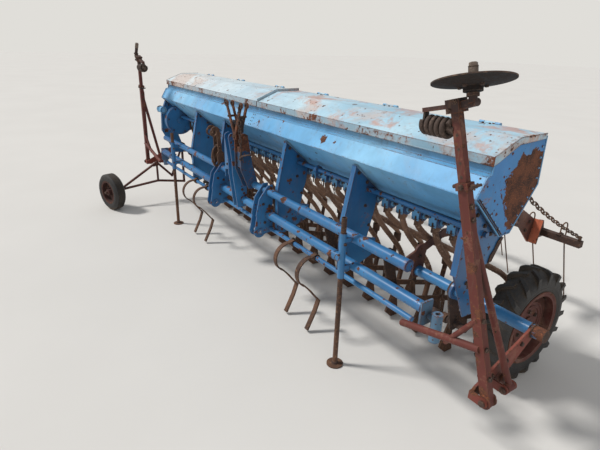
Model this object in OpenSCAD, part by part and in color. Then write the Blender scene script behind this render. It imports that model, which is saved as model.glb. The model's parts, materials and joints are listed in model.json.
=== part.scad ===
// Mounted seed drill, four metres wide, parked on its wheels and two stands.
// X runs along the working width, +Y points to the rear, Z is up.
// The origin is on the ground below the middle of the main wheels' axle line.

/* [Seed box] */
// Length of the seed box along the working width
box_len = 4000; // [3400:50:4600]
// Thickness of the folded sheet of the seed box
sheet = 3; // [2:0.5:5]
// Thickness of the two end panels
end_t = 4; // [3:0.5:8]
// Height of the seed box floor above the ground
floor_z = 1010; // [960:5:1060]
// Height of the top edge of the rear wall
box_top_z = 1449; // [1430:1:1452]
// Gap between the two lid halves
lid_gap = 8; // [4:1:20]
// Thickness of the lid sheet
lid_t = 3; // [2:0.5:5]
// Depth of the lip along the front edge of the lids
lid_lip = 38; // [20:1:45]
// Radius of the lid hinge pins
lid_pin_r = 4; // [3:0.5:5]
// Width of the bar bolted below the seed box floor
rail_w = 84; // [72:1:110]
// Thickness of the bar below the seed box floor
rail_t = 6; // [4:0.5:10]

/* [Rows] */
// Distance between two seed rows
row_pitch = 120; // [100:1:140]
// Number of seed rows
rows = 30; // [24:2:30]
// Width of one metering unit
unit_w = 62; // [50:1:76]
// Radius of the metering shaft
meter_r = 8; // [6:0.5:12]
// Outer radius of a seed tube
seed_tube_r = 17; // [12:0.5:19]
// Radius of the bar that the coulter arms hang on
coulter_bar_r = 20; // [15:0.5:26]
// Thickness of a coulter blade
blade_t = 12; // [8:1:18]

/* [Frame] */
// Radius of the main beam
beam_r = 30; // [24:1:38]
// Length of the main beam
beam_len = 4600; // [4590:2:4620]
// Radius of the upper front tube
upper_r = 25; // [20:0.5:32]
// Length of the upper front tube
upper_len = 3530; // [3300:10:3700]
// Outer radius of the sleeve on the upper front tube
sleeve_r = 31; // [29:0.5:38]
// Length of the sleeve on the upper front tube
sleeve_len = 920; // [500:10:1000]
// Radius of the lower front tube
lower_r = 29.5; // [24:0.5:34]
// Radius of the bottom rail
rail_r = 15; // [11:0.5:20]
// Thickness of the upright support plates
plate_t = 6; // [5:0.5:10]
// Width of the flange along the front of each support plate
flange_w = 35; // [24:1:50]
// Radius of the control shaft below the seed box
control_r = 14; // [10:0.5:18]

/* [Hitch] */
// Distance from the middle to each lower link bracket
link_x = 380; // [330:5:440]
// Clear gap between the two plates of a lower link bracket
link_gap = 56; // [46:1:70]
// Radius of the lower link pin holes
link_hole_r = 14.25; // [11:0.05:18.5]
// Radius of the top link hole
top_hole_r = 12.75; // [9.5:0.05:16]
// Clear gap between the two plates of the top link mast
mast_gap = 56; // [48:1:64]
// Inner radius of the vertical sockets at the ends of the lower front tube
socket_bore_r = 11; // [8:0.5:16]

/* [Wheels] */
// Outer diameter of the main wheels
wheel_d = 680; // [660:5:760]
// Width of a main wheel tyre
tyre_w = 165; // [140:1:175]
// Distance from the middle to the centre of each main wheel
wheel_x = 1948; // [1944:1:1956]
// Radius of the rim's bead seat
rim_r = 203; // [190:1:225]
// Radius of the wheel axles
axle_r = 20; // [15:0.5:26]
// Number of lugs on each side of a main tyre
lugs = 18; // [12:1:24]
// Outer diameter of the small outrigger wheel
small_d = 400; // [360:5:440]
// Width of the small outrigger wheel tyre
small_w = 125; // [100:1:140]

/* [Markers] */
// Distance from the hanger plate out to the marker hinge axis
marker_out = 60; // [56:1:72]
// Height of the marker hinge axis
marker_z = 460; // [450:1:480]
// Length of the marker post from the hinge to its top
post_len = 1180; // [1100:5:1220]
// Diameter of the marker disc
disc_d = 284; // [270:2:330]
// Thickness of the marker disc
disc_t = 4; // [3:0.5:6]

/* [Harrow] */
// Distance from the axle line back to the first harrow bar
harrow_y = 800; // [780:5:860]
// Height of the harrow bars
harrow_z = 600; // [540:5:620]
// Distance from the middle to each harrow arm
harrow_arm_x = 1550; // [1500:5:1650]
// Width of the square harrow bars
harrow_bar = 45; // [30:1:60]
// Distance between two harrow tines on one bar
tine_pitch = 240; // [160:10:300]
// Radius of a harrow tine
tine_r = 5; // [4:0.5:8]

/* [Stands] */
// Distance from the middle to each parking stand
stand_x = 1340; // [1290:5:1390]
// Outer radius of a parking stand
stand_r = 15; // [12:0.5:20]

/* [Hidden] */
$fn = 48;

blue = "#4b84b8";
pale_blue = "#8fb9d8";
red = "#a5452f";
orange = "#cf5a30";
rust = "#6b4a36";
dark_rust = "#4a3428";
black = "#242424";

// Clearances: a turning fit, and the space left between pieces that slide past each other
fit = 0.05;
slip = 0.3;
seat_gap = 6;

// Side of a left or right piece: -1 is left, +1 is right
LEFT = -1;
RIGHT = 1;

// Seed box section, as y and z of the middle of the sheet
front_top = [-636, 1388];
band_low = [-641, 1316];
face_top = [-668, 1308];
box_wide = [-723, 1219];
floor_front = [-500, floor_z];
floor_back = [-430, floor_z];
back_low = [-273, 1223];
back_top = [-284, box_top_z];
lid_front = [-657, 1392];
lid_crest = [-491, 1458];
lid_back = [-293, 1460];
hinge_y = -270;
hinge_z = lid_back[1];
hinge_r = 9;
hinge_w = 60;
hinge_x = [-1700, -1000, -300, 300, 1000, 1700];
half_box = box_len / 2;
lip_side = 5;

// Row places along the width
row_x = [for (i = [0 : rows - 1]) (i - (rows - 1) / 2) * row_pitch];
unit_y = -462;
meter_z = 948;
rail_low = floor_z - sheet / 2 - rail_t;
unit_low = 902;
spout_r = 19;
tube_bend_z = 872;
tube_end_z = 452;
tube_rings = 5;
funnel_low = 380;
front_rank_y = -150;
rear_rank_y = 165;
pivot_y = -425;
pivot_z = 400;

// Front tubes, each laid into a shallow notch of the support plates
plate_y = -770;
bite = 5;
upper_z = 820;
lower_z = 655;
bottom_z = 545;
upper_y = plate_y - upper_r + bite;
lower_y = plate_y - lower_r + bite;
bottom_y = plate_y - rail_r + bite;
upper_mid_x = -15;
sleeve_x0 = 830;
beam_y = -485;
beam_z = 632;
lower_len = 3740;
rail_len = lower_len - 140;
plate_out = half_box - 22;
plate_x = [-plate_out, -1080, -480, 480, 1200, plate_out];
pivot_bar_half = row_x[rows - 1] + 140;
hanger_out = pivot_bar_half - 80;
hanger_x = [-hanger_out, -1320, -720, 0, 720, 1320, hanger_out];
control_y = -590;
control_z = 1030;

// Wheels and their arms
axle_z = wheel_d / 2;
arm_t = 14;
arm_x = wheel_x - tyre_w / 2 - 48;
hub_r = 52;

// Hanger plates near the ends of the main beam, which carry the markers
hang_x = beam_len / 2 - 60;
hang_t = 12;

// Outrigger wheel, carried on a truss at the left end
truss_t = 24;
truss_in = 81;
truss_x = truss_in - hang_x;
small_x = truss_x + 19;
small_y = -1330;
small_turn = 16;
small_z = small_d / 2;

// Markers, drawn for the right side
marker_x = hang_x + marker_out;
post_lean = 14.9;
post_y = -855;
post_fwd = 4;
brace_y = -700;
post_w = 42;
post_d = 34;
pin_r = 10;
ear_r = 24;
lean_x = tan(post_lean);
lean_y = tan(post_fwd);

function post_at(h) = [marker_x - h * lean_x, post_y - h * lean_y, marker_z + h];

post_rise = post_len * cos(post_lean);
post_top = post_at(post_rise);
disc_hub = post_top + [53, -1, 86];
disc_tilt = 14.9;
disc_turn = -6;
spindle_r = 15;
spindle_half = 62;
coil_turns = 5;

stand_y = -868;
sleeve_wall = 5;

// Shared shapes

// Plate cut from a (y, z) outline, standing across the width at x
module yz(x, thick) {
  translate([x - thick / 2, 0, 0]) rotate([90, 0, 90]) linear_extrude(thick) children();
}

// Plate cut from an (x, z) outline, standing along the width at y
module xz(y, thick) {
  translate([0, y + thick / 2, 0]) rotate([90, 0, 0]) linear_extrude(thick) children();
}

// Flat strip between two points of an outline
module strip(a, b, wide) {
  translate(a) rotate(atan2(b[1] - a[1], b[0] - a[0]))
    translate([0, -wide / 2]) square([norm(b - a), wide]);
}

// Points at a distance beside a chain of points, mitred at its bends
function across(v) = [-v[1], v[0]] / norm(v);
function beside(chain, d) = let (last = len(chain) - 1) [for (i = [0 : last])
  let (
    n = across(chain[max(i, 1)] - chain[max(i, 1) - 1]),
    m = across(chain[min(i, last - 1) + 1] - chain[min(i, last - 1)])
  ) chain[i] + d * (n + m) / (1 + n * m)];

// Folded sheet along a chain of outline points
module fold(chain, thick) {
  low = beside(chain, -thick / 2);
  polygon(concat(beside(chain, thick / 2), [for (i = [len(chain) - 1 : -1 : 0]) low[i]]));
}

// Strip with a slightly wider round eye at each end, for links and arms
eye_share = 1.06;

module link(a, b, wide) {
  strip(a, b, wide);
  translate(a) circle(d = wide * eye_share);
  translate(b) circle(d = wide * eye_share);
}

// Round bar between two points
module rod(a, b, r) {
  d = b - a;
  translate(a) rotate([0, acos(d[2] / norm(d)), atan2(d[1], d[0])]) cylinder(h = norm(d), r = r);
}

// Bar of rectangular section between two points, wide along x and deep along y
module bar(a, b, wide, deep) {
  d = b - a;
  translate(a) rotate([-asin(d[1] / norm(d)), atan2(d[0], d[2]), 0])
    translate([-wide / 2, -deep / 2, 0]) cube([wide, deep, norm(d)]);
}

// Round bar along the width
module along_x(x0, x1, y, z, r) {
  translate([x0, y, z]) rotate([0, 90, 0]) cylinder(h = x1 - x0, r = r);
}

// Round bar along the direction of travel
module along_y(y0, y1, x, z, r) {
  translate([x, y0, z]) rotate([-90, 0, 0]) cylinder(h = y1 - y0, r = r);
}

module flip(side) {
  if (side < 0) mirror([1, 0, 0]) children();
  else children();
}

// Seed box

wall_len = box_len - 2 * end_t;

module box_front() color(pale_blue) {
  floor_stop = [floor_back[0] - sheet - slip, floor_z];
  yz(0, wall_len) fold([front_top, band_low, face_top, box_wide, floor_front, floor_stop], sheet);
}

module hinge_knuckle(x) {
  along_x(x + hinge_w / 2 + slip, x + hinge_w / 2 + 30, hinge_y, hinge_z, hinge_r);
  along_x(x - hinge_w / 2 - 30, x - hinge_w / 2 - slip, hinge_y, hinge_z, hinge_r);
  along_x(x - hinge_w / 2 - 20, x + hinge_w / 2 + 20, hinge_y, hinge_z, lid_pin_r);
  for (side = [LEFT, RIGHT])
    yz(x + side * (hinge_w / 2 + 15 + slip / 2), 30 - slip)
      strip([hinge_y - 3, hinge_z], back_top + [sheet, -50], 6);
}

module box_back() color(pale_blue) {
  yz(0, wall_len) fold([floor_back, back_low, back_top], sheet);
  for (x = hinge_x) hinge_knuckle(x);
}

// Outline of the closed section, a little below the lids
module section_outline(grow) {
  polygon([
    front_top + [-grow, 0],
    band_low + [-grow, 0],
    face_top + [-grow, 0],
    box_wide + [-grow, 0],
    floor_front + [-grow, -sheet / 2],
    floor_back + [grow, -sheet / 2],
    back_low + [grow, 0],
    back_top + [grow, 0],
    [lid_crest[0], lid_crest[1] - seat_gap - lid_t / 2]
  ]);
}

module box_end(side) color(pale_blue)
  yz(side * (half_box - end_t / 2), end_t) section_outline(5);

module box_end_left() box_end(LEFT);
module box_end_right() box_end(RIGHT);

module box_divider() color(blue) yz(0, sheet) difference() {
  section_outline(0);
  fold([front_top, band_low, face_top, box_wide, floor_front, floor_back], sheet + 2 * slip);
  fold([floor_front, floor_back, back_low, back_top], sheet + 2 * slip);
}

module metering_rail() color(blue)
  translate([-half_box + 20, (floor_front[0] + floor_back[0]) / 2 - rail_w / 2, rail_low])
    cube([box_len - 40, rail_w, rail_t]);

// Lids, hinged along the rear edge

module lid(side) color(pale_blue) {
  x0 = lid_gap / 2;
  x1 = half_box + lip_side + lid_t;
  lip = lid_front - [0, lid_lip];
  flip(side) {
    yz((x0 + x1) / 2, x1 - x0) fold([lip, lid_front, lid_crest, lid_back], lid_t);
    yz(x1 - lid_t / 2, lid_t) polygon([
      lip, lid_front, lid_crest, lid_back, lid_back - [0, 22], lid_crest - [0, 30], lip + [30, 10]
    ]);
    for (x = hinge_x) if (x > 0) difference() {
      union() {
        along_x(x - hinge_w / 2, x + hinge_w / 2, hinge_y, hinge_z, hinge_r);
        yz(x, hinge_w) strip(lid_back - [20, 0], [hinge_y, hinge_z], lid_t);
      }
      along_x(x - hinge_w, x + hinge_w, hinge_y, hinge_z, lid_pin_r + fit);
    }
  }
}

module lid_left() lid(LEFT);
module lid_right() lid(RIGHT);

// Metering

module metering_units() color(blue) for (x = row_x) difference() {
  union() {
    translate([x - unit_w / 2, unit_y - 34, meter_z]) cube([unit_w, 68, rail_low - meter_z]);
    along_x(x - unit_w / 2, x + unit_w / 2, unit_y, meter_z, 34);
    translate([x, unit_y, unit_low]) cylinder(h = 30, r = spout_r);
  }
  along_x(x - unit_w, x + unit_w, unit_y, meter_z, meter_r + fit);
}

module metering_shaft() color(rust)
  along_x(-half_box + 60, half_box - 60, unit_y, meter_z, meter_r);

// Round tube swept along a path in one plane across the width, as rings of points
module swept_tube(path, r, sides) {
  last = len(path) - 1;
  along = [for (i = [0 : last]) path[min(i + 1, last)] - path[max(i - 1, 0)]];
  points = [for (i = [0 : last], k = [0 : sides - 1])
    let (a = 360 * k / sides, n = cross([1, 0, 0], along[i]) / norm(along[i]))
      path[i] + r * (cos(a) * [1, 0, 0] + sin(a) * n)];
  walls = [for (i = [0 : last - 1], k = [0 : sides - 1])
    let (m = (k + 1) % sides)
      [i * sides + k, i * sides + m, (i + 1) * sides + m, (i + 1) * sides + k]];
  caps = [
    [for (k = [sides - 1 : -1 : 0]) k],
    [for (k = [0 : sides - 1]) last * sides + k]
  ];
  polyhedron(points, concat(walls, caps));
}

// Seed tube from a metering unit down to the funnel of its coulter
module seed_tube(x, foot_y) {
  foot_z = funnel_low + 26;
  ease = function(t) t * (1 + t * (3 - 2 * t)) / 2;
  path = concat(
    [[x, unit_y, unit_low]],
    [for (i = [0 : tube_rings])
      let (t = i / tube_rings)
        [x, unit_y + (foot_y - unit_y) * ease(t), tube_bend_z + (tube_end_z - tube_bend_z) * t]],
    [[x, foot_y, foot_z]]
  );
  swept_tube(path, seed_tube_r, 8);
}

module seed_tubes() color(rust) for (i = [0 : rows - 1])
  seed_tube(row_x[i], i % 2 == 0 ? front_rank_y : rear_rank_y);

// Coulters

module coulter_bar() color(dark_rust) {
  along_x(-pivot_bar_half, pivot_bar_half, pivot_y, pivot_z, coulter_bar_r);
  for (x = hanger_x) yz(x, 10) difference() {
    link([beam_y, beam_z], [pivot_y, pivot_z], 2 * beam_r + 20);
    translate([beam_y, beam_z]) circle(r = beam_r + fit);
  }
}

module coulter(x, y) {
  throat = [x, y, funnel_low];
  boot = [x, y - 40, 150];
  eye_r = coulter_bar_r + 8;
  difference() {
    union() {
      translate(throat) cylinder(h = tube_end_z - 12 - funnel_low, r = seed_tube_r + 12);
      rod(boot, throat, 17);
      yz(x, 10) link([pivot_y, pivot_z], [y - 25, 235], 34);
      along_x(x - 16, x + 16, pivot_y, pivot_z, eye_r);
      yz(x, blade_t) difference() {
        polygon([
          [y - 62, 215], [y - 20, 215], [y - 12, 120], [y + 10, 6], [y - 60, 6], [y - 118, 60]
        ]);
        translate([y - 172, 150]) circle(r = 84);
      }
    }
    translate([x, y, funnel_low + 20]) cylinder(h = 100, r = seed_tube_r + 6);
    along_x(x - 30, x + 30, pivot_y, pivot_z, coulter_bar_r + fit);
  }
}

module coulters_front() color(rust) for (i = [0 : 2 : rows - 1]) coulter(row_x[i], front_rank_y);
module coulters_rear() color(rust) for (i = [1 : 2 : rows - 1]) coulter(row_x[i], rear_rank_y);

// Frame

module main_beam() color(blue) along_x(-beam_len / 2, beam_len / 2, beam_y, beam_z, beam_r);

module upper_front_tube() color(blue)
  along_x(upper_mid_x - upper_len / 2, upper_mid_x + upper_len / 2, upper_y, upper_z, upper_r);

module tube_sleeve() color(blue) difference() {
  along_x(sleeve_x0, sleeve_x0 + sleeve_len, upper_y, upper_z, sleeve_r);
  along_x(sleeve_x0 - 1, sleeve_x0 + sleeve_len + 1, upper_y, upper_z, upper_r + fit);
}

module lower_front_tube() color(blue)
  along_x(-lower_len / 2, lower_len / 2, lower_y, lower_z, lower_r);

module bottom_rail() color(blue)
  along_x(-rail_len / 2, rail_len / 2, bottom_y, bottom_z, rail_r);

// Upright plate between the seed box, the front tubes and the main beam
end_front = [[-703, 1185], [-754, 1050], [-762, 862], [-640, 610]];
end_back = [[-500, 600], [-500, 668], [-540, 690], [-596, 860], [-498, 866], [-430, rail_low - slip]];
mid_front = [[-703, 1185], [plate_y, 860], [plate_y, 530], [-700, 520]];
mid_back = [[-490, 600], [-490, 700], [-566, 720], [-520, 900], [-508, 1014]];

module support_plate(x) difference() {
  front = abs(x) == plate_out ? end_front : mid_front;
  back = abs(x) == plate_out ? end_back : mid_back;
  union() {
    yz(x, plate_t) polygon(concat(front, back));
    yz(x, flange_w) fold([for (i = [0 : 2]) front[i] + [3, -2]], 6);
  }
  yz(x, flange_w + 4) strip(box_wide + [-40, 37.5], floor_front, sheet + 2 * slip);
  yz(x, flange_w + 4) translate([0, -sheet / 2 - slip]) polygon([
    box_wide + [-80, 75], floor_front, floor_front + [160, 0], [0, 1400], [-723, 1400]
  ]);
  yz(x, flange_w + 4) translate([(floor_front[0] + floor_back[0] - rail_w) / 2 - slip, rail_low - slip])
    square([rail_w + 2 * slip, 40]);
  along_x(x - 50, x + 50, upper_y, upper_z, abs(x) > 700 && x > 0 ? sleeve_r + fit : upper_r + fit);
  along_x(x - 50, x + 50, lower_y, lower_z, lower_r + fit);
  along_x(x - 50, x + 50, bottom_y, bottom_z, rail_r + fit);
  along_x(x - 50, x + 50, beam_y, beam_z, beam_r + fit);
  along_x(x - 50, x + 50, control_y, control_z, control_r + fit);
}

module support_plates() color(blue) for (x = plate_x) support_plate(x);

module control_shaft() color(blue) {
  along_x(plate_x[0] - 20, plate_x[5] + 20, control_y, control_z, control_r);
  along_x(700, 724, control_y, control_z, control_r + 14);
}

// Hitch

link_pin_y = -868;
link_pin_z = 535;
link_t = 10;

module link_brackets() color(blue) for (side = [LEFT, RIGHT], cheek = [LEFT, RIGHT]) {
  x = side * link_x + cheek * (link_gap + link_t) / 2;
  yz(x, link_t) difference() {
    union() {
      link([link_pin_y, link_pin_z], [link_pin_y + 20, lower_z], 84);
      polygon([[-896, 660], [-870, 780], [-800, 870], [plate_y + 8, 870], [plate_y + 8, 520], [-850, 510]]);
    }
    translate([link_pin_y, link_pin_z]) circle(r = link_hole_r);
    translate([upper_y, upper_z]) circle(r = upper_r + fit);
    translate([lower_y, lower_z]) circle(r = lower_r + fit);
    translate([bottom_y, bottom_z]) circle(r = rail_r + fit);
  }
}

mast_y = -880;
mast_top = 1145;
mast_t = 10;
fold_x = -212;

// Two cheeks for the top link pin, with a folded plate beside them
module top_mast() color(blue) {
  for (cheek = [LEFT, RIGHT]) yz(cheek * (mast_gap + mast_t) / 2, mast_t) difference() {
    union() {
      link([mast_y, mast_top], [mast_y + 24, 960], 64);
      polygon([[-888, 980], [-825, 980], [plate_y, 870], [plate_y, 600], [-850, 600], [-888, 880]]);
    }
    translate([mast_y, mast_top]) circle(r = top_hole_r);
    translate([upper_y, upper_z]) circle(r = upper_r + fit);
    translate([lower_y, lower_z]) circle(r = lower_r + fit);
  }
  yz(fold_x, 6) difference() {
    polygon([[-826, 1120], [-790, 1120], [-762, 900], [-762, 790], [-832, 790]]);
    translate([upper_y, upper_z]) circle(r = upper_r + fit);
  }
  xz(-828, 6) polygon([
    [fold_x - 3, 1120], [-90, 1090], [-mast_gap / 2 - mast_t / 2, 1060],
    [-mast_gap / 2 - mast_t / 2, 880], [fold_x - 3, 850]
  ]);
}

box_x = 150;
fork_pivot = [110, 1170];

// Flat arm with an eye, leaning in the plane across the machine
module fork_arm(lean_to, y) xz(y, 10) difference() {
  union() {
    link(fork_pivot, lean_to, 24);
    translate(lean_to) circle(r = 21);
  }
  translate(lean_to) circle(r = 10);
}

// Rusty changeover gear beside the mast: a bracket on the upper tube with two forks
module changeover_levers() color(dark_rust) {
  for (cheek = [LEFT, RIGHT]) yz(box_x + cheek * 44, 8) difference() {
    union() {
      polygon([[-898, 1180], [-840, 1190], [-800, 960], [-766, 850], [-766, 790], [-836, 790], [-898, 940]]);
      translate([-868, 1172]) circle(r = 30);
    }
    translate([upper_y, upper_z]) circle(r = upper_r + fit);
  }
  xz(-880, 8) translate([box_x - 44, 950]) square([88, 150]);
  for (y = [-896, -852]) {
    fork_arm([-8, 1388], y);
    fork_arm([212, 1394], y);
    xz(y, 10) translate(fork_pivot) circle(r = 26);
  }
  along_y(-905, -843, fork_pivot[0], fork_pivot[1], 11);
  along_x(box_x - 60, box_x + 62, -868, 1172, 12);
}

module linkage_hooks() color(rust) for (x = [-440, -366]) yz(x, 10) {
  difference() {
    union() {
      link([-812, 1110], [-800, 930], 32);
      link([-800, 930], [upper_y, upper_z], 60);
      translate([-838, 1124]) circle(r = 38);
    }
    translate([-850, 1114]) circle(r = 21);
    translate([upper_y, upper_z]) circle(r = upper_r + fit);
  }
}

socket_x = lower_len / 2 + 61;
socket_y = lower_y + 34.5;
socket_low = 490;
socket_h = 150;
socket_out_r = 27;

module socket(side) color(pale_blue) flip(side) difference() {
  union() {
    translate([socket_x, socket_y, socket_low]) cylinder(h = socket_h, r = socket_out_r);
    along_x(lower_len / 2 + slip, socket_x, socket_y, lower_z - 50, 16);
    yz(lower_len / 2 + 6 + slip, 12) polygon([
      [lower_y - 25, 560], [lower_y - 25, 690], [plate_y + 30, 690], [plate_y + 30, 560]
    ]);
  }
  translate([socket_x, socket_y, socket_low - 10]) cylinder(h = socket_h + 20, r = socket_bore_r);
}

module socket_left() socket(LEFT);
module socket_right() socket(RIGHT);

// Wheels

module wheel_arm(side) color(blue) flip(side) difference() {
  union() {
    yz(arm_x, arm_t) link([beam_y, beam_z], [0, axle_z], 96);
    along_x(arm_x, wheel_x + tyre_w / 2 - 8, 0, axle_z, axle_r);
    along_x(arm_x, wheel_x - 62, 0, axle_z, axle_r + 12);
  }
  along_x(arm_x - arm_t, arm_x + arm_t, beam_y, beam_z, beam_r + fit);
}

module wheel_arm_left() wheel_arm(LEFT);
module wheel_arm_right() wheel_arm(RIGHT);

// Tyre section: flat tread, rounded shoulders, bead on the rim
module tyre_section(outer_r, bead_r, wide) {
  shoulder = wide * 0.22;
  difference() {
    union() {
      translate([bead_r, -wide / 2 + shoulder]) square([outer_r - bead_r, wide - 2 * shoulder]);
      translate([bead_r + 14, -wide / 2]) square([outer_r - shoulder - bead_r - 14, wide]);
      for (s = [-1, 1])
        translate([outer_r - shoulder, s * (wide / 2 - shoulder)]) circle(r = shoulder);
    }
    translate([0, -wide]) square([bead_r, 2 * wide]);
  }
}

lug_h = 15;
lug_t = 26;

module tyre(side) color(black) flip(side) translate([wheel_x, 0, axle_z]) rotate([0, 90, 0]) {
  carcass_r = wheel_d / 2 - lug_h;
  rotate_extrude($fn = 90) tyre_section(carcass_r, rim_r, tyre_w - 12);
  for (i = [0 : lugs - 1], s = [-1, 1])
    rotate([0, 0, (i + (s > 0 ? 0.5 : 0)) * 360 / lugs]) intersection() {
      translate([carcass_r - 24, 0, 0]) rotate([s * 38, 0, 0])
        translate([0, -lug_t / 2, s > 0 ? -8 : -tyre_w]) cube([24 + lug_h, lug_t, tyre_w + 8]);
      translate([0, 0, s > 0 ? 0 : -tyre_w / 2]) difference() {
        cylinder(h = tyre_w / 2, r = wheel_d / 2);
        translate([0, 0, -1]) cylinder(h = tyre_w, r = carcass_r - 14);
      }
    }
}

module tyre_left() tyre(LEFT);
module tyre_right() tyre(RIGHT);

// Dished rim turning on its axle
module rim(side) color(red) flip(side) translate([wheel_x, 0, axle_z]) rotate([0, 90, 0]) {
  half = tyre_w / 2 - 14;
  rotate_extrude($fn = 90) difference() {
    union() {
      translate([rim_r - 6, -half]) square([6 - slip, 2 * half]);
      for (s = [-1, 1]) translate([rim_r - 6, s * half - 3]) square([18, 6]);
      translate([rim_r - 58, -4]) square([54, 8]);
      translate([rim_r - 64, -4]) square([8, 34]);
      translate([hub_r - 8, 22]) square([rim_r - 56 - hub_r, 8]);
      translate([axle_r + fit, -56]) square([hub_r - axle_r - fit, 96]);
    }
  }
}

module rim_left() rim(LEFT);
module rim_right() rim(RIGHT);

// Outrigger: a small wheel on a truss, used when the drill is towed lengthwise

small_rim_r = small_d / 2 - 78;
hub_half = small_w / 2;

module at_small_wheel() translate([small_x, small_y, small_z]) rotate([0, 0, small_turn])
  rotate([90, 0, 0]) children();

module small_tyre() color(black) at_small_wheel()
  rotate_extrude($fn = 72) tyre_section(small_d / 2, small_rim_r, small_w);

module small_rim() color(red) at_small_wheel() rotate_extrude($fn = 72) {
  translate([small_rim_r - 8, -hub_half + 10]) square([8 - slip, small_w - 20]);
  translate([30, -4]) square([small_rim_r - 34, 8]);
  translate([14 + fit, -hub_half + 8]) square([20, small_w - 16]);
}

truss_w = 28;
truss_hub = [small_y + 90, small_z];
truss_top = [-800, 470];
truss_foot = [-800, 250];
truss_rear = [-630, 290];
truss_low = [beam_y, 200];

module outrigger_frame() color(red) {
  at_small_wheel() translate([0, 0, -hub_half - 60]) cylinder(h = small_w + 70, r = 14);
  translate([truss_x, truss_hub[0], truss_hub[1] - 60]) cylinder(h = 120, r = 21);
  yz(truss_x, truss_t) difference() {
    union() {
      link(truss_hub, truss_top, truss_w);
      link(truss_hub, truss_foot, truss_w);
      link(truss_foot, truss_top, truss_w);
      link(truss_foot, truss_low, truss_w);
      link(truss_top, truss_rear, truss_w);
      link(truss_rear, [beam_y, beam_z], truss_w);
      link(truss_low, [beam_y, beam_z], truss_w);
      translate([beam_y, beam_z]) circle(r = beam_r + 14);
    }
    translate([beam_y, beam_z]) circle(r = beam_r + fit);
  }
}

// Markers

module marker_bracket(side) color(red) flip(side) {
  difference() {
    union() {
      yz(hang_x, hang_t) link([beam_y, beam_z], [post_y + 10, marker_z + 6], 56);
      yz(hang_x, hang_t) link([beam_y, beam_z], [brace_y, marker_z + 6], 56);
      for (y = [post_y - post_d / 2 - 12, post_y + post_d / 2 + 12, brace_y - 40, brace_y + 20])
        xz(y, 10) {
          strip([hang_x, marker_z], [marker_x, marker_z], 2 * ear_r - 8);
          translate([marker_x, marker_z]) circle(r = ear_r - 4);
        }
      for (span = [[post_y - post_d / 2 - 17, post_y + post_d / 2 + 17], [brace_y - 45, brace_y + 25]])
        yz(hang_x, hang_t) strip([span[0], marker_z], [span[1], marker_z], 2 * ear_r - 8);
    }
    along_x(hang_x - 60, hang_x + 60, beam_y, beam_z, beam_r + fit);
  }
  along_y(post_y - post_d / 2 - 22, post_y + post_d / 2 + 22, marker_x, marker_z, pin_r);
  along_y(brace_y - 50, brace_y + 30, marker_x, marker_z, pin_r);
}

module marker_bracket_left() marker_bracket(LEFT);
module marker_bracket_right() marker_bracket(RIGHT);

module marker_post(side) color(red) flip(side) {
  join_h = 865;
  brace_h = 790;
  block_x = post_top[0];
  block_z = post_top[2] + 10;
  foot = disc_hub + (spindle_half - 4) * [sin(disc_tilt), 0, -cos(disc_tilt)];
  difference() {
    union() {
      bar(post_at(-18), post_at(join_h), post_w, post_d);
      bar(post_at(join_h - 40), post_at(post_rise), post_w - 7, post_d - 6);
      bar(post_at(join_h - 14), post_at(join_h + 14), post_w + 12, post_d + 10);
      rod([marker_x, brace_y, marker_z], post_at(brace_h), 15);
      along_y(brace_y - 30, brace_y + 14, marker_x, marker_z, ear_r - 4);
      rod(post_at(225) + [0, -post_d / 2 + 6, 0], [marker_x - 491, post_y - 5, 561], 17);
      rod(post_at(347) + [0, -post_d / 2 + 8, 0], [marker_x - 231, post_y - 15, 612], 12);
      bar(post_at(post_rise - 14), post_at(post_rise + 34), post_w + 16, post_d + 18);
      at_disc() translate([0, 0, -spindle_half]) cylinder(h = 2 * spindle_half, r = spindle_r);
      xz(post_top[1], post_d) link([block_x + 10, block_z], [foot[0], foot[2]], 28);
      xz(post_top[1], 30) strip([block_x - 20, block_z - 4], [block_x - 146, block_z - 33], 16);
    }
    along_y(post_y - 60, post_y + 60, marker_x, marker_z, pin_r + fit);
    along_y(brace_y - 60, brace_y + 60, marker_x, marker_z, pin_r + fit);
  }
}

module at_disc() translate(disc_hub) rotate([disc_turn, -disc_tilt, 0]) children();

module marker_post_left() marker_post(LEFT);
module marker_post_right() marker_post(RIGHT);

// Spring coil that cushions the disc arm, and the flat bar over it
module marker_coil(side) color(rust) flip(side) difference() {
  c = post_at(post_rise - 76);
  x1 = c[0] - post_w / 2;
  union() {
    for (i = [0 : coil_turns - 1]) translate([x1 - 20 - i * 26, c[1], c[2]]) rotate([0, 90, 0])
      rotate_extrude() translate([29, 0]) circle(r = 11, $fn = 20);
    along_x(x1 - 146, x1 + 16, c[1], c[2], 20);
    translate([x1 - 146, c[1] - 12, c[2]]) cube([10, 24, 44]);
  }
  bar(post_at(post_rise - 200), post_at(post_rise + 40), post_w - 7 + 2 * slip, post_d - 6 + 2 * slip);
}

module marker_coil_left() marker_coil(LEFT);
module marker_coil_right() marker_coil(RIGHT);

// Only the right marker still has its disc
module marker_disc() color(dark_rust)
  at_disc() rotate_extrude($fn = 72) polygon([
    [spindle_r + fit, -22], [34, -22], [34, -4], [disc_d / 2, 12], [disc_d / 2, 12 + disc_t],
    [34, disc_t], [28, 26], [spindle_r + fit, 26]
  ]);

// Following harrow

arm_flat = 12;
arm_flange = 62;
hoop_r = 42;
bar_half = harrow_arm_x + 280;
second_y = harrow_y + 280;
second_half = 1150;
second_link_x = 900;
arm_tail = [
  [harrow_y - 300, harrow_z + 215], [harrow_y - 136, harrow_z + 120], [harrow_y - 4, harrow_z + 86],
  [harrow_y + 34, harrow_z - 40], [harrow_y - 166, harrow_z - 46], [harrow_y - 350, harrow_z + 130]
];

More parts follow.
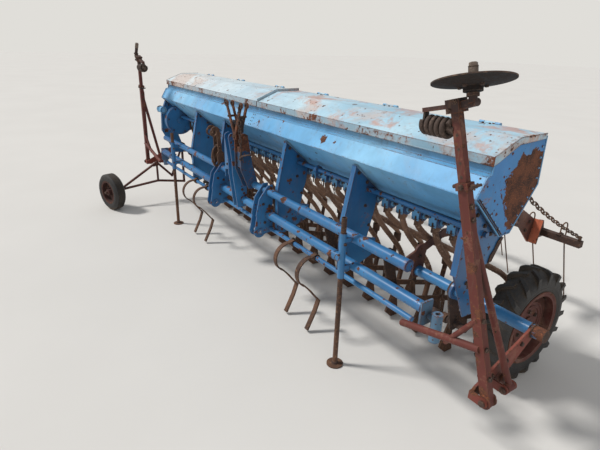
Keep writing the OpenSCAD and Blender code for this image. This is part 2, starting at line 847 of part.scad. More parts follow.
// Flat arms from the main beam under the box, ending in a deep plate with a flange on the first bar
module harrow_arms() color(orange) difference() {
  union() {
    for (x = [-harrow_arm_x, harrow_arm_x]) {
      yz(x, arm_flat) {
        strip([-640, 690], [-300, 818], 44);
        link([beam_y, beam_z], [beam_y + 6, 745], 84);
        link([-300, 818], [harrow_y - 330, harrow_z + 180], 50);
        polygon(arm_tail);
      }
      translate([x + arm_flat / 2 - 1, 0, 0]) yz(arm_flange / 2, arm_flange)
        strip(arm_tail[1] + [0, 5], arm_tail[4] + [0, 5], 10);
    }
    for (x = [-second_link_x, second_link_x]) yz(x, arm_flat)
      link([harrow_y, harrow_z], [second_y, harrow_z], harrow_bar + 30);
  }
  along_x(-bar_half, bar_half, beam_y, beam_z, beam_r + fit);
  for (y = [harrow_y, second_y])
    translate([-bar_half, y - harrow_bar / 2 - fit, harrow_z - harrow_bar / 2 - fit])
      cube([2 * bar_half, harrow_bar + 2 * fit, harrow_bar + 2 * fit]);
}

module harrow_bars() color(dark_rust) {
  translate([-bar_half, harrow_y - harrow_bar / 2, harrow_z - harrow_bar / 2])
    cube([2 * bar_half, harrow_bar, harrow_bar]);
  translate([-second_half, second_y - harrow_bar / 2, harrow_z - harrow_bar / 2])
    cube([2 * second_half, harrow_bar, harrow_bar]);
}

// Long spring tine that rises from its bar, bends over in a hoop and trails to the ground
module harrow_tine(x, y) {
  rise = harrow_z + harrow_bar / 2 + 36;
  knee = [x, y + 2 * hoop_r + 8, harrow_z - 50];
  tip = [x, y + 330, 14];
  translate([x, y + hoop_r, rise]) rotate([90, 0, 90]) rotate_extrude(angle = 180, $fn = 48)
    translate([hoop_r, 0]) circle(r = tine_r, $fn = 16);
  translate([x, y, harrow_z + harrow_bar / 2]) cylinder(h = 37, r = tine_r - 0.6);
  rod([x, y + 2 * hoop_r, rise + 1], knee, tine_r - 0.6);
  rod(knee, tip, tine_r - 1);
  translate([x - 12, y - 10, harrow_z + harrow_bar / 2]) cube([24, 20, 10]);
}

// As many tines as fit on a bar, spread evenly about its middle
module tine_row(half, y) {
  count = floor((2 * half - 60) / tine_pitch);
  for (i = [0 : count - 1]) harrow_tine((i - (count - 1) / 2) * tine_pitch, y);
}

module harrow_tines() color(rust) {
  tine_row(bar_half, harrow_y);
  tine_row(second_half, second_y);
}

chain_x = bar_half - 18;
chain_top_z = 1250;
chain_r = 7;

module lift_chains() color(rust) for (side = [LEFT, RIGHT]) flip(side) {
  rod([chain_x, -258, chain_top_z], [chain_x, harrow_y, harrow_z + harrow_bar / 2 + 18], chain_r);
  yz(chain_x, 8) difference() {
    strip([back_low[0] - 1, chain_top_z], [-250, chain_top_z], 40);
    strip(back_low, back_top, sheet + 2 * fit);
  }
  yz(chain_x, 14)
    strip([harrow_y, harrow_z + harrow_bar / 2], [harrow_y, harrow_z + harrow_bar / 2 + 30], 24);
}

// Sprung tines that loosen the tractor's wheel tracks: a hooked spring over a straight shank
tine_flat = 10;
tine_bend_r = 105;

module track_tine(x) yz(x, 34) difference() {
  union() {
    translate([bottom_y - 40, bottom_z - 90]) difference() {
      circle(r = tine_bend_r);
      circle(r = tine_bend_r - tine_flat);
      polygon([[0, 0], [40, 200], [200, 200], [200, -200], [-60, -200]]);
    }
    strip([bottom_y - 42, bottom_z + 10], [bottom_y, bottom_z + 10], tine_flat);
    strip([bottom_y - 80, bottom_z - 180], [bottom_y + 40, bottom_z - 330], tine_flat);
    strip([bottom_y + 40, bottom_z - 326], [bottom_y - 50, 20], tine_flat + 4);
    translate([bottom_y, bottom_z]) circle(r = rail_r + 10);
  }
  translate([bottom_y, bottom_z]) circle(r = rail_r + fit);
}

track_in = 720;
track_out = 980;

module track_tines() color(rust) for (x = [-track_out, -track_in, track_in, track_out]) track_tine(x);

// Drive at the left end

module drive_cover() color(blue) difference() {
  yz(-1830, 60) difference() {
    union() {
      translate([-610, 990]) circle(r = 150);
      polygon([[-610, 840], [-440, 900], [-440, 990], [-520, 1100], [-610, 1140]]);
    }
    polygon([
      box_wide + [-80, 75 - sheet / 2 - 2], floor_front + [0, -sheet / 2 - 2],
      [floor_back[0] + 60, floor_z - sheet / 2 - 2], [0, 1400], [-723, 1400]
    ]);
    translate([control_y, control_z]) circle(r = control_r + fit);
    translate([unit_y, meter_z]) circle(r = meter_r + fit);
  }
  translate([-1900, floor_front[0] - 20, rail_low - slip]) cube([140, rail_w + 40, 40]);
}

module chain_case() color(rust) difference() {
  yz(arm_x * LEFT + 28, 16) {
    link([0, axle_z], [-420, 800], 90);
    link([-420, 800], [unit_y, meter_z - 10], 90);
  }
  along_x(-2000, -1700, unit_y, meter_z, meter_r + fit);
  along_x(-2000, -1700, 0, axle_z, axle_r + fit);
  along_x(-2000, -1700, beam_y, beam_z, beam_r + fit);
}

// Parking stands

module stand_sleeves() color(blue) for (side = [LEFT, RIGHT]) {
  x = side * stand_x;
  difference() {
    union() {
      translate([x, stand_y, 590]) cylinder(h = 270, r = stand_r + fit + sleeve_wall);
      for (z = [lower_z, upper_z]) translate([x - 20, stand_y, z - 14]) cube([40, 70, 28]);
    }
    translate([x, stand_y, 500]) cylinder(h = 500, r = stand_r + fit);
    along_x(x - 60, x + 60, upper_y, upper_z, x > sleeve_x0 ? sleeve_r + fit : upper_r + fit);
    along_x(x - 60, x + 60, lower_y, lower_z, lower_r + fit);
  }
}

module stand(side) color(rust) {
  x = side * stand_x;
  difference() {
    translate([x, stand_y, 4]) cylinder(h = 946, r = stand_r);
    translate([x, stand_y, 30]) cylinder(h = 940, r = stand_r - 4);
  }
  translate([x, stand_y, 0]) cylinder(h = 8, r = 50);
}

module stand_left() stand(LEFT);
module stand_right() stand(RIGHT);

box_front();
box_back();
box_end_left();
box_end_right();
box_divider();
metering_rail();
upper_front_tube();
tube_sleeve();
lower_front_tube();
bottom_rail();
main_beam();
support_plates();
link_brackets();
top_mast();
changeover_levers();
linkage_hooks();
control_shaft();
metering_units();
metering_shaft();
seed_tubes();
coulter_bar();
coulters_front();
coulters_rear();
drive_cover();
chain_case();
wheel_arm_left();
wheel_arm_right();
socket_left();
socket_right();
marker_bracket_left();
marker_bracket_right();
harrow_arms();
harrow_bars();
harrow_tines();
lift_chains();
track_tines();
stand_sleeves();
outrigger_frame();
tyre_left();
rim_left();
tyre_right();
rim_right();
small_tyre();
small_rim();
lid_left();
lid_right();
marker_post_left();
marker_post_right();
marker_coil_left();
marker_coil_right();
marker_disc();
stand_left();
stand_right();
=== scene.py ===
"""Looks for a weathered mounted seed drill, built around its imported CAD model."""

import json
import math

import bmesh
import bpy
from mathutils import Matrix, Vector


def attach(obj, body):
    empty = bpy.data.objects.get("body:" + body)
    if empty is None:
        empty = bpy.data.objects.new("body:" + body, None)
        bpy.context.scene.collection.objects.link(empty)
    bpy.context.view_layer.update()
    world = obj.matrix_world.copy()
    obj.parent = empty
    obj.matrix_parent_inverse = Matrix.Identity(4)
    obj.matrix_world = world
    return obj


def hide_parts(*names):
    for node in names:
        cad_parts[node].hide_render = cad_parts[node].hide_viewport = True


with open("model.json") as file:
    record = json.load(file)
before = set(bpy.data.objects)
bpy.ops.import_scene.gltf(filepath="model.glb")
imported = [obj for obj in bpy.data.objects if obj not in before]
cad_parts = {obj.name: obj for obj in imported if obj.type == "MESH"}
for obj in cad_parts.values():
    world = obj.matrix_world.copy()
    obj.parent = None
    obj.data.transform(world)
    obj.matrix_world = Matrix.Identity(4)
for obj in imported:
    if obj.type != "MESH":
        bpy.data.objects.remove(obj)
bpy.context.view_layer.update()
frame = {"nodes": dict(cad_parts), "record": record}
scene = bpy.context.scene
nodes = frame["nodes"]

# Camera, fitted to the photograph
PHOTO_WIDTH = 600
FOCAL_PIXELS = 456.0
SENSOR = 36.0
eye = Vector((3.074, -2.347, 1.804))
right = Vector((0.55757, 0.82962, 0.02733))
up = Vector((-0.32173, 0.18564, 0.92845))
back = Vector((0.76519, -0.52647, 0.37045))
camera_data = bpy.data.cameras.new("camera")
camera_data.sensor_width = SENSOR
camera_data.lens = FOCAL_PIXELS / PHOTO_WIDTH * SENSOR
camera_data.clip_end = 200
camera = bpy.data.objects.new("camera", camera_data)
turn = Matrix((right, up, back)).transposed()
camera.matrix_world = Matrix.Translation(eye) @ turn.to_4x4()
scene.collection.objects.link(camera)
scene.camera = camera
scene.view_settings.view_transform = "Standard"


# Materials

def rgb(*levels):
    """A colour written as 0 to 255 display levels, in linear light."""
    out = []
    for level in levels:
        c = level / 255
        out.append(c / 12.92 if c <= 0.04045 else ((c + 0.055) / 1.055) ** 2.4)
    return (*out, 1.0)


class Nodes:
    """Short ways to add shader nodes to one material."""

    def __init__(self, name):
        self.material = bpy.data.materials.new(name)
        self.material.use_nodes = True
        self.tree = self.material.node_tree
        self.bsdf = self.tree.nodes["Principled BSDF"]
        self.place = self.add("TexCoord").outputs["Object"]

    def put(self, socket, value):
        if isinstance(value, bpy.types.NodeSocket):
            self.tree.links.new(value, socket)
        else:
            socket.default_value = value

    def add(self, kind, settings=None, **inputs):
        node = self.tree.nodes.new("ShaderNode" + kind)
        for key, value in (settings or {}).items():
            setattr(node, key, value)
        for key, value in inputs.items():
            self.put(node.inputs[key.replace("_", " ")], value)
        return node

    def math(self, operation, a, b=0.0):
        node = self.add("Math", {"operation": operation})
        self.put(node.inputs[0], a)
        self.put(node.inputs[1], b)
        return node.outputs[0]

    def times(self, a, b):
        return self.math("MULTIPLY", a, b)

    def plus(self, a, b):
        return self.math("ADD", a, b)

    def less(self, a, b):
        return self.math("SUBTRACT", a, b)

    def noise(self, scale, detail=5, rough=0.6, stretch=None, shift=(0, 0, 0), warp=0.0):
        place = self.place
        if stretch or any(shift):
            place = self.add("Mapping", Vector=place, Scale=stretch or (1, 1, 1), Location=shift).outputs[0]
        node = self.add("TexNoise", Vector=place, Scale=scale, Detail=detail, Roughness=rough,
                        Distortion=warp)
        return node.outputs["Fac"]

    def ramp(self, value, low, high):
        node = self.add("MapRange", {"interpolation_type": "SMOOTHSTEP"}, Value=value)
        node.inputs["From Min"].default_value = low
        node.inputs["From Max"].default_value = high
        return node.outputs[0]

    def mix(self, amount, a, b, blend="MIX"):
        node = self.add("Mix", {"data_type": "RGBA", "blend_type": blend})
        self.put(node.inputs[0], amount)
        self.put(node.inputs[6], a)
        self.put(node.inputs[7], b)
        return node.outputs[2]

    def blend(self, amount, a, b):
        """Mixes two numbers."""
        node = self.add("Mix", {"data_type": "FLOAT"})
        self.put(node.inputs[0], amount)
        self.put(node.inputs[2], a)
        self.put(node.inputs[3], b)
        return node.outputs[0]

    def edges(self, radius=0.006):
        """1 along sharp edges, 0 on flats."""
        soft = self.add("Bevel", {"samples": 4}, Radius=radius).outputs[0]
        hard = self.add("NewGeometry").outputs["Normal"]
        dot = self.add("VectorMath", {"operation": "DOT_PRODUCT"})
        self.put(dot.inputs[0], soft)
        self.put(dot.inputs[1], hard)
        return self.ramp(dot.outputs["Value"], 0.995, 0.86)

    def axis(self, index, scale=1.0, offset=0.0):
        """A coordinate of the object, scaled and moved."""
        return self.plus(self.times(self.add("SeparateXYZ", Vector=self.place).outputs[index], scale), offset)

    def spots(self, scale, share, seed=0.0):
        """1 inside small ragged spots; share is how many cells have one."""
        shaken = self.add("TexNoise", Vector=self.place, Scale=scale * 2.6, Detail=4.0,
                          Roughness=0.7).outputs["Color"]
        move = self.add("VectorMath", {"operation": "SCALE"}, Scale=0.9 / scale)
        self.put(move.inputs[0], shaken)
        place = self.add("Mapping", Vector=self.place, Location=(seed, 2 * seed, seed)).outputs[0]
        total = self.add("VectorMath", {"operation": "ADD"})
        self.put(total.inputs[0], place)
        self.put(total.inputs[1], move.outputs[0])
        cell = self.add("TexVoronoi", Vector=total.outputs[0], Scale=float(scale))
        size = self.add("SeparateColor", Color=cell.outputs["Color"]).outputs[0]
        size = self.times(self.ramp(size, 1.0 - share, 1.0), 0.42)
        return self.ramp(self.less(size, cell.outputs["Distance"]), 0.0, 0.035)

    def hollows(self, distance=0.06):
        """1 in the open, 0 in corners."""
        return self.add("AmbientOcclusion", {"samples": 4}, Distance=distance).outputs["AO"]

    def bump(self, height, distance, normal=None):
        node = self.add("Bump", Height=height, Distance=distance, Strength=1.0)
        if normal is not None:
            self.put(node.inputs["Normal"], normal)
        return node.outputs[0]

    def finish(self, colour, rough, normal=None, metal=0.0):
        self.put(self.bsdf.inputs["Base Color"], colour)
        self.put(self.bsdf.inputs["Roughness"], rough)
        if metal:
            self.put(self.bsdf.inputs["Metallic"], metal)
        if normal is not None:
            self.put(self.bsdf.inputs["Normal"], normal)
        return self.material


RUST_DARK = rgb(58, 36, 28)
RUST_BROWN = rgb(104, 62, 42)
RUST_ORANGE = rgb(156, 92, 52)


def rust_colour(n, seed=0.0):
    patches = n.noise(14, 8, 0.65, shift=(seed, 1, 2))
    grains = n.noise(150, 4, 0.7, shift=(1, seed, 2))
    colour = n.mix(n.ramp(patches, 0.38, 0.62), RUST_DARK, RUST_BROWN)
    return n.mix(n.ramp(grains, 0.5, 0.72), colour, RUST_ORANGE)


def painted(name, base, faded, rust=0.5, wash=0.0, seed=0.0, rough=0.5, dents=0.0, extra=None, streaks=0.25,
            tint=None, spots=(18, 0.2)):
    """Old paint: faded in patches, chipped to rust along edges, streaked, with painted shade in corners."""
    n = Nodes(name)
    broad = n.noise(1.1, 4, 0.55, shift=(seed, 0, 0))
    middle = n.noise(7, 7, 0.65, shift=(0, seed, 0), warp=0.4)
    fine = n.noise(46, 6, 0.7, shift=(0, 0, seed))
    drips = n.noise(3.2, 5, 0.6, stretch=(9, 9, 0.8), shift=(seed, seed, 0))
    colour = n.mix(n.ramp(broad, 0.3, 0.7), rgb(*base), rgb(*faded))
    if tint is not None:
        colour = tint(n, colour, middle)
    shade = n.blend(n.ramp(middle, 0.25, 0.75), 0.86, 1.1)
    grey = n.add("CombineColor", Red=shade, Green=shade, Blue=shade).outputs[0]
    colour = n.mix(1.0, colour, grey, "MULTIPLY")
    chip = n.math("MAXIMUM", n.spots(*spots, seed), n.spots(spots[0] * 2.6, spots[1], seed + 3))
    if wash:
        film = n.ramp(n.noise(2.1, 8, 0.7, shift=(seed, 3, 1), warp=0.6), 0.50, 0.64)
        colour = n.mix(n.times(film, wash), colour, rgb(200, 168, 148))
        chip = n.math("MAXIMUM", chip, n.times(n.spots(75, 0.4, seed + 1), n.ramp(film, 0.55, 0.6)))
    # Painted shade: corners (ambient occlusion) darken towards a dirt brown, unevenly in patches.
    corner_shade = n.ramp(n.plus(n.hollows(), n.times(middle, 0.5)), 0.55, 1.05)
    colour = n.mix(n.times(n.less(1.0, corner_shade), 0.8), colour, rgb(62, 54, 46))
    stain = n.times(n.ramp(drips, 0.54, 0.74), streaks)
    colour = n.mix(stain, colour, rgb(104, 78, 60))
    worn = n.plus(n.times(middle, 0.62), n.times(fine, 0.38))
    worn = n.plus(worn, n.times(n.edges(), 0.19))
    if extra is not None:
        worn = n.plus(worn, extra(n, middle, fine))
    limit = 0.74 - 0.2 * rust
    bare = n.math("MAXIMUM", n.ramp(worn, limit, limit + 0.03), chip)
    halo = n.times(n.ramp(worn, limit - 0.07, limit + 0.01), 0.45)
    colour = n.mix(halo, colour, rgb(138, 100, 78))
    colour = n.mix(bare, colour, rust_colour(n, seed))
    gloss = n.blend(n.ramp(broad, 0.3, 0.7), rough - 0.06, rough + 0.1)
    gloss = n.blend(bare, gloss, 0.88)
    height = n.plus(n.times(bare, -0.5), n.times(n.times(fine, bare), 0.5))
    normal = n.bump(height, 0.0012)
    if dents:
        normal = n.bump(n.noise(1.7, 2, 0.5, shift=(0, seed, 3)), dents, normal)
    return n.finish(colour, gloss, normal)


def rusted(name, dark, mid, light, seed=0.0, rough=0.85, shine=0.0):
    """Bare steel under old rust, with pits."""
    n = Nodes(name)
    broad = n.noise(3, 6, 0.6, shift=(seed, 0, 0), warp=0.3)
    fine = n.noise(60, 7, 0.7, shift=(0, seed, 0))
    grain = n.noise(320, 3, 0.6)
    colour = n.mix(n.ramp(broad, 0.35, 0.65), rgb(*dark), rgb(*mid))
    colour = n.mix(n.ramp(fine, 0.5, 0.7), colour, rgb(*light))
    worn = n.times(n.edges(0.004), n.ramp(fine, 0.4, 0.6))
    colour = n.mix(n.times(worn, 0.5), colour, rgb(150, 128, 108))
    # Painted shade: darker in corners and recesses (ambient occlusion).
    corner_shade = n.ramp(n.hollows(0.05), 0.2, 0.8)
    colour = n.mix(n.times(n.less(1.0, corner_shade), 0.6), colour, rgb(34, 27, 22))
    gloss = n.blend(n.ramp(fine, 0.4, 0.6), rough - 0.15, rough + 0.08)
    height = n.plus(fine, n.times(grain, 0.3))
    return n.finish(colour, gloss, n.bump(height, 0.0012), shine)


def rubber(name):
    """Old tyre rubber, dusty in the grooves and greyed on the sidewall."""
    n = Nodes(name)
    broad = n.noise(5, 5, 0.6)
    fine = n.noise(90, 6, 0.7)
    crack = n.add("TexVoronoi", {"feature": "DISTANCE_TO_EDGE"}, Vector=n.place, Scale=70.0)
    crack = crack.outputs["Distance"]
    colour = n.mix(n.ramp(broad, 0.3, 0.7), rgb(30, 29, 30), rgb(46, 44, 43))
    dust = n.plus(n.times(n.less(1.0, n.ramp(n.hollows(0.05), 0.3, 0.95)), 0.75),
                  n.times(n.ramp(fine, 0.5, 0.75), 0.3))
    colour = n.mix(dust, colour, rgb(104, 90, 74))
    height = n.plus(fine, n.times(n.ramp(crack, 0.0, 0.06), 0.5))
    return n.finish(colour, n.blend(dust, 0.62, 0.95), n.bump(height, 0.0007))


def end_rust(n, middle, fine):
    """The rusted rear half of the right end panel, with a ragged edge, and the chips along its front."""
    y, z = n.axis(1, 1.0, 0.512), n.axis(2, 1.0, -1.215)
    reach = n.less(y, n.times(n.times(z, z), 2.0))
    reach = n.plus(reach, n.times(n.less(middle, 0.5), 0.34))
    reach = n.plus(reach, n.times(n.less(fine, 0.5), 0.10))
    rear = n.times(n.ramp(reach, 0.0, 0.012), n.ramp(n.plus(z, n.times(middle, 0.16)), 0.255, 0.235))
    front = n.plus(y, n.times(z, 0.30))
    front = n.plus(n.times(n.ramp(front, -0.06, -0.15), 0.10), n.times(n.ramp(z, 0.13, 0.2), 0.05))
    return n.plus(n.times(rear, 0.6), front)


def beam_rust(n, middle, fine):
    """Bare rust on the ends of the main beam."""
    reach = n.plus(n.math("ABSOLUTE", n.axis(0)), n.times(middle, 0.3))
    return n.times(n.ramp(reach, 2.34, 2.42), 0.3)


def dark_head(n, colour, middle):
    """The head of a marker post is darker than its foot."""
    reach = n.plus(n.axis(2), n.times(middle, 0.12))
    return n.mix(n.ramp(reach, 1.56, 1.68), colour, rgb(58, 40, 36))


def maroon_and_shaded_arms(n, colour, middle):
    """The harrow arms are old dark paint, but for the orange plates across their tails; sideways faces are
    darkened as painted shade.
    """
    # Painted shade: faces that point along x, the arm webs, take the dark colour as well.
    flat = n.add("SeparateXYZ", Vector=n.add("NewGeometry").outputs["Normal"]).outputs[0]
    shaded_web = n.ramp(n.math("ABSOLUTE", flat), 0.4, 0.6)
    front = n.ramp(n.axis(1), 0.60, 0.50)
    worn = n.mix(n.ramp(middle, 0.4, 0.65), rgb(78, 42, 38), rgb(98, 66, 54))
    return n.mix(n.math("MAXIMUM", shaded_web, front), colour, worn)


def gear_rust(n, middle, fine):
    """The changeover forks are bare rust above their blue cheeks."""
    return n.times(n.ramp(n.plus(n.axis(2), n.times(middle, 0.16)), 1.13, 1.18), 0.4)


def lip_rust(n, middle, fine):
    """Rust along the front lip of a lid and at its outer end."""
    lip = n.times(n.ramp(n.axis(1), -0.652, -0.657), 0.095)
    return n.plus(lip, n.times(n.ramp(n.axis(0), 1.93, 2.0), 0.07))


def sun_glare_and_primer(n, colour, middle):
    """The lids pale to near white at the left end, a painted sun glare, and show old primer in blotches on
    the right.
    """
    # Painted sun glare: whiter towards the left end.
    colour = n.mix(n.times(n.ramp(n.axis(0, -1.0, 1.4), 0.0, 3.0), 0.62), colour, rgb(226, 228, 226))
    primer = n.times(n.ramp(n.noise(2.6, 9, 0.72, shift=(4, 21, 2), warp=0.5), 0.5, 0.6),
                     n.ramp(n.axis(0), -0.35, 0.05))
    colour = n.mix(n.times(primer, 0.68), colour, rgb(190, 130, 102))
    return n.mix(n.times(n.ramp(n.axis(1), -0.652, -0.657), 0.5), colour, rgb(108, 134, 152))


def dusty(n, colour, middle):
    """Dust in patches on the main rims."""
    return n.mix(n.times(n.ramp(middle, 0.45, 0.7), 0.5), colour, rgb(120, 98, 84))


MATERIALS = {
    "pale_blue_paint": painted("hopper_paint", (98, 166, 214), (138, 192, 224), rust=0.38, wash=0.12, seed=3,
                               dents=0.004, spots=(13, 0.018)),
    "blue_paint": painted("frame_paint", (32, 88, 138), (58, 124, 174), rust=0.5, seed=11, rough=0.36,
                          spots=(15, 0.28)),
    "red_paint": painted("marker_paint", (108, 42, 32), (128, 60, 46), rust=0.62, seed=5, rough=0.62,
                         streaks=0.45),
    "orange_paint": painted("harrow_paint", (204, 108, 76), (226, 150, 116), rust=0.5, seed=8, rough=0.6,
                            tint=maroon_and_shaded_arms),
    "rusty_steel": rusted("rusty_steel", (66, 45, 35), (98, 68, 50), (138, 104, 78), seed=2),
    "dark_rust": rusted("dark_rust", (44, 32, 28), (70, 50, 42), (104, 76, 60), seed=4),
    "worn_steel": rusted("worn_steel", (96, 84, 76), (128, 112, 100), (160, 146, 132), seed=6, rough=0.5,
                         shine=0.6),
    "tyre_rubber": rubber("tyre_rubber"),
    "coil_steel": rusted("coil_steel", (54, 42, 37), (80, 64, 55), (116, 98, 88), seed=9),
    "tube_steel": rusted("tube_steel", (104, 76, 58), (150, 114, 90), (186, 152, 126), seed=17),
}
# The lid paint's tint adds a painted sun glare towards the left end.
LID_PAINT = painted("lid_paint", (142, 192, 218), (184, 212, 224), rust=0.52, wash=0.55, seed=21, dents=0.006,
                    rough=0.45, spots=(24, 0.07), extra=lip_rust, tint=sun_glare_and_primer)
END_RIGHT = painted("end_panel_paint", (50, 122, 186), (72, 144, 200), rust=0.5, seed=14, extra=end_rust,
                    dents=0.004, spots=(16, 0.25))
SOCKET_PAINT = painted("socket_paint", (58, 92, 126), (88, 124, 152), rust=0.7, seed=31, spots=(30, 0.4),
                       streaks=0.6)
# Painted shade: the changeover cheeks get blue paint darker than the frame's, so they read as shade.
SHADED_GEAR_PAINT = painted("shaded_gear_paint", (34, 66, 98), (52, 92, 130), rust=0.74, seed=13, extra=gear_rust,
                     spots=(30, 0.4))
BEAM_PAINT = painted("beam_paint", (32, 90, 142), (60, 128, 178), rust=0.5, seed=12, rough=0.34,
                     extra=beam_rust)
POST_PAINT = painted("post_paint", (84, 32, 26), (102, 46, 36), rust=0.64, seed=6, rough=0.64, streaks=0.8,
                     tint=dark_head, spots=(16, 0.3))
# Rust on the marker disc, made darker than the other rust, partly as painted shade for its underside.
SHADED_DISC_RUST = rusted("shaded_disc_rust", (22, 16, 14), (36, 25, 21), (60, 41, 34), seed=15, rough=0.92)
TRUSS_PAINT = painted("truss_paint", (66, 32, 28), (84, 44, 36), rust=0.66, seed=27, rough=0.68, streaks=0.6)
# Painted shade: a darker copy of the rim paint, for the small wheel's rim.
SHADED_SMALL_RIM_PAINT = painted("shaded_small_rim_paint", (54, 28, 28), (68, 38, 34), rust=0.62, seed=28, rough=0.74)
RIM_PAINT = painted("rim_paint", (86, 38, 32), (104, 54, 44), rust=0.6, seed=25, rough=0.7, tint=dusty)
SPECIAL = (
    (LID_PAINT, "lid_left", "lid_right"),
    (END_RIGHT, "box_end_right"),
    (BEAM_PAINT, "main_beam"),
    (POST_PAINT, "marker_post_left", "marker_post_right"),
    (SOCKET_PAINT, "socket_left", "socket_right"),
    (SHADED_GEAR_PAINT, "changeover_levers"),
    (SHADED_DISC_RUST, "marker_disc"),
    (RIM_PAINT, "rim_left", "rim_right"),
    (SHADED_SMALL_RIM_PAINT, "small_rim"),
    (TRUSS_PAINT, "outrigger_frame"),
)

for part in frame["record"]["subparts"]:
    o = nodes[part["node"]]
    o.data.materials.clear()
    o.data.materials.append(MATERIALS[part["material_slot"]])
for material, *names in SPECIAL:
    for name in names:
        nodes[name].data.materials[0] = material


# Floor, backdrop and light

def pale_floor():
    n = Nodes("floor")
    floor = n.mix(n.ramp(n.noise(0.7, 5, 0.55), 0.3, 0.7), rgb(209, 207, 203), rgb(212, 210, 206))
    return n.finish(floor, 0.9)


SPAN = 60.0
mesh = bpy.data.meshes.new("floor")
mesh.from_pydata([(-SPAN, -SPAN, 0), (SPAN, -SPAN, 0), (SPAN, SPAN, 0), (-SPAN, SPAN, 0)], [], [(0, 1, 2, 3)])
mesh.materials.append(pale_floor())
floor = bpy.data.objects.new("floor", mesh)
scene.collection.objects.link(floor)

world = bpy.data.worlds.new("studio")
scene.world = world
world.use_nodes = True
sky = world.node_tree
background = sky.nodes["Background"]
background.inputs["Color"].default_value = (0.97, 0.98, 1.0, 1.0)
background.inputs["Strength"].default_value = 0.46
pale = sky.nodes.new("ShaderNodeBackground")
pale.inputs["Color"].default_value = rgb(224, 222, 217)
path = sky.nodes.new("ShaderNodeLightPath")
choose = sky.nodes.new("ShaderNodeMixShader")
sky.links.new(path.outputs["Is Camera Ray"], choose.inputs[0])
sky.links.new(background.outputs[0], choose.inputs[1])
sky.links.new(pale.outputs[0], choose.inputs[2])
sky.links.new(choose.outputs[0], sky.nodes["World Output"].inputs["Surface"])


def lamp(name, direction, strength, spread, colour=(1, 1, 1)):
    data = bpy.data.lights.new(name, "SUN")
    data.energy = strength
    data.angle = math.radians(spread)
    data.color = colour
    o = bpy.data.objects.new(name, data)
    o.rotation_mode = "QUATERNION"
    o.rotation_quaternion = Vector(direction).to_track_quat("-Z", "Y")
    scene.collection.objects.link(o)


lamp("key", (0.55, 0.62, -1.0), 2.7, 9, (1.0, 0.98, 0.95))
lamp("fill", (-0.9, 0.5, -0.45), 0.25, 60)

# Shapes

def across(direction, hint=(0, 0, 1)):
    """Two unit vectors square to a direction."""
    d = Vector(direction).normalized()
    h = Vector(hint)
    if abs(d.dot(h)) > 0.96:
        h = Vector((1, 0, 0)) if abs(d.x) < 0.9 else Vector((0, 1, 0))
    u = h.cross(d).normalized()
    return u, d.cross(u)


def angles(count, shift=0):
    """Equal steps of a full turn."""
    return [2 * math.pi * (k + shift) / count for k in range(count)]


def turned(u, v, angle):
    """The direction at an angle from u towards v."""
    return u * math.cos(angle) + v * math.sin(angle)


def band(inner, outer, low, high):
    """A rectangle from its limits: a washer's profile, or the outline of a plate."""
    return [(inner, low), (outer, low), (outer, high), (inner, high)]


def rect(wide, high):
    """A rectangle's outline from its half sizes."""
    return [(-wide, -high), (wide, -high), (wide, high), (-wide, high)]


def circle(r, n):
    return [(r * math.cos(a), r * math.sin(a)) for a in angles(n)]


def helix(at, axis, r, pitch, turns, steps=20, start=0.0):
    d = Vector(axis).normalized()
    u, v = across(d)
    count = round(turns * steps)
    out = []
    for i in range(count + 1):
        a = start + 2 * math.pi * i / steps
        out.append(Vector(at) + d * (pitch * i / steps) + turned(u, v, a) * r)
    return out


def smooth_path(points, steps=6):
    """A curve through points, rounded at each."""
    p = [Vector(q) for q in points]
    p = [2 * p[0] - p[1]] + p + [2 * p[-1] - p[-2]]
    out = []
    for i in range(1, len(p) - 2):
        for k in range(steps):
            t = k / steps
            a, b, c, d = p[i - 1:i + 3]
            out.append(0.5 * (2 * b + (c - a) * t + (2 * a - 5 * b + 4 * c - d) * t * t
                              + (3 * b - a - 3 * c + d) * t ** 3))
    out.append(p[-2])
    return out


